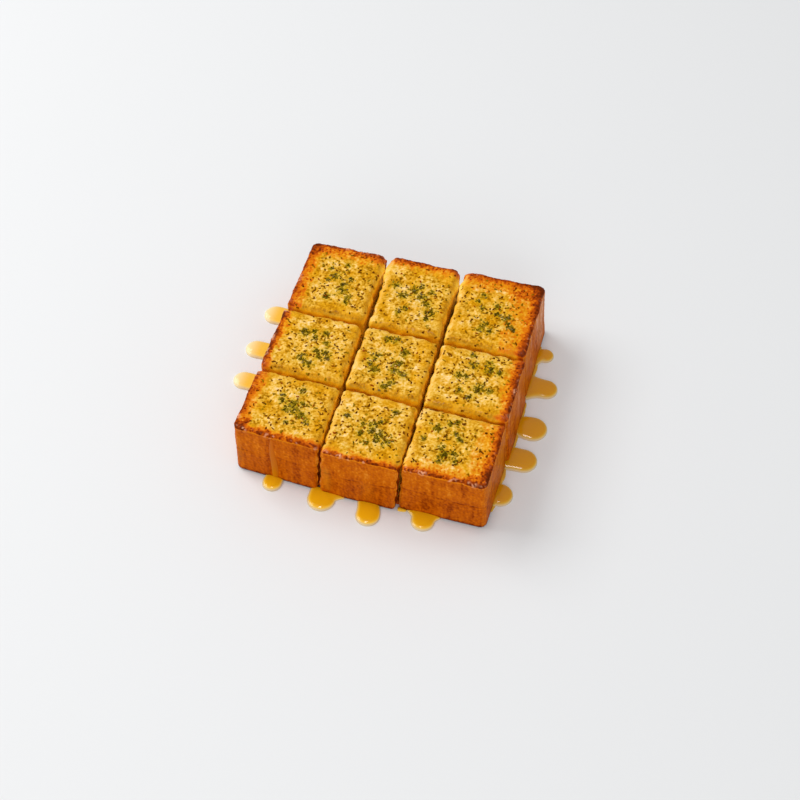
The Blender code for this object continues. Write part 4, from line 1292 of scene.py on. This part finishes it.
def honey_seep(side, number, cube, start, end, width, finish):
    """A low bead of honey along the foot of a face: half-round cross-sections whose width
    wavers and shrinks to nothing at both ends."""
    rows = max(SEEP_LEAST, int(abs(end - start) * SEEP_ROWS))
    run = np.linspace(0.0, math.pi, rows)[:, None]
    along = lerp(start, end, (1.0 - np.cos(run)) / 2)
    full = np.sin(run) ** RUN_BLUNT * (1.0 + layered(along * (1.0, 0.0, 0.0), SEEP_WAVER)[:, None])
    turn = np.linspace(0.0, 2.0 * math.pi, SEEP_SIDES, endpoint=False)
    out = SEEP_TUCK * np.minimum(np.cos(turn), 0.0) + width * full * np.maximum(np.cos(turn), 0.0)
    axis, way, _ = FACES[side]
    verts = np.zeros((rows, SEEP_SIDES, 3))
    verts[..., axis] = face_at(side, cube, along, 0.0) + way * out
    verts[..., 1 - axis] = along
    verts[..., 2] = SEEP_THICK * full * np.maximum(np.sin(turn), 0.0) ** POOL_DOME + HONEY_LIFT
    depth = lerp(*SEEP_DEPTH, np.clip(verts[..., 2] / SEEP_THICK, 0.0, 1.0))
    quads = strip_quads(rows, SEEP_SIDES)
    if (way > 0) == (axis == 0):
        quads = quads[:, ::-1]
    # Painted shade: the seeps take the olive of their side's pools
    facts = dict(depth=depth, olive=np.full(depth.shape, POOL_TONE[side][1]), pale=np.zeros(depth.shape))
    return surface(
        f"honey_seep_{side}_{number}", verts.reshape(-1, 3), quads, finish, facts=facts,
        nodes=())


# ---------------------------------------------------------------- the setting

# Area lights: where they stand in metres, width, height and power. The key comes in from the
# left and a little behind, the glint hangs overhead, and the fill is large and weak.
LIGHTS = {
    "key": ((-1.5, 0.35, 1.45), 1.5, 1.2, 25.0),
    "glint": ((-0.15, 0.1, 1.9), 0.32, 0.32, 4.5),
    "fill": ((0.35, -2.0, 1.0), 1.8, 1.0, 14.0),
}
SKY = 0.5
FLOOR_HALF = 3.0            # half the pale floor's side, in metres


def floor_and_light():
    """A plain pale floor, three soft lights and a white sky."""
    made, _, _ = new_material("pale_floor", 0.6, Base_Color=linear("#E6E7E8"))
    mesh = bpy.data.meshes.new("floor")
    corners = [(x * FLOOR_HALF, y * FLOOR_HALF, 0.0) for x, y in ((-1, -1), (1, -1), (1, 1), (-1, 1))]
    mesh.from_pydata(corners, [], [(0, 1, 2, 3)])
    mesh.materials.append(made)
    floor = bpy.data.objects.new("floor", mesh)
    bpy.context.scene.collection.objects.link(floor)

    world = bpy.data.worlds.new("soft_sky")
    world.use_nodes = True
    world.node_tree.nodes["Background"].inputs["Color"].default_value = linear("#FFFFFF")
    world.node_tree.nodes["Background"].inputs["Strength"].default_value = SKY
    bpy.context.scene.world = world

    for name, (where, width, height, power) in LIGHTS.items():
        lamp = bpy.data.lights.new(name, "AREA")
        lamp.shape = "RECTANGLE"
        lamp.size, lamp.size_y = width, height
        lamp.energy = power
        light = bpy.data.objects.new(name, lamp)
        light.visible_glossy = name != "fill"
        light.location = where
        light.rotation_euler = (-light.location).to_track_quat("-Z", "Y").to_euler()
        bpy.context.scene.collection.objects.link(light)


def camera():
    """The photograph's view: where it looks, from how far and how high, and its focal length."""
    target = Vector((3.4 * MM, -0.9 * MM, 0.0))
    elevation, azimuth, distance = math.radians(52.49), math.radians(15.85), 711.1 * MM
    level = math.cos(elevation)
    back = Vector((math.sin(azimuth) * level, -math.cos(azimuth) * level, math.sin(elevation)))
    lens = bpy.data.cameras.new("camera")
    lens.sensor_width = 36.0
    lens.lens = 61.76
    made = bpy.data.objects.new("camera", lens)
    made.location = target + back * distance
    made.rotation_euler = (-back).to_track_quat("-Z", "Y").to_euler()
    bpy.context.scene.collection.objects.link(made)
    bpy.context.scene.camera = made
    bpy.context.scene.view_settings.view_transform = "Standard"


# ---------------------------------------------------------------- the scene

camera()
floor_and_light()

bread_finish = baked_bread()
honey_finish = poured_honey()
skins = {
    (COLUMNS[column], ROWS[row]): bread_cube(column, row, bread_finish)
    for column, row in itertools.product(range(len(COLUMNS)), range(len(ROWS)))
}
crust_floor(bread_finish)
parsley(skins, dried_parsley())
flecks(skins, browned_flecks())
honey_run(honey_over_crust())
for side, pools in POOLS.items():
    for number, sizes in enumerate(pools, start=1):
        honey_pool(side, number, *sizes, honey_finish)

for number, (side, *sizes) in enumerate(SEEPS, start=1):
    honey_seep(side, number, *sizes, honey_finish)
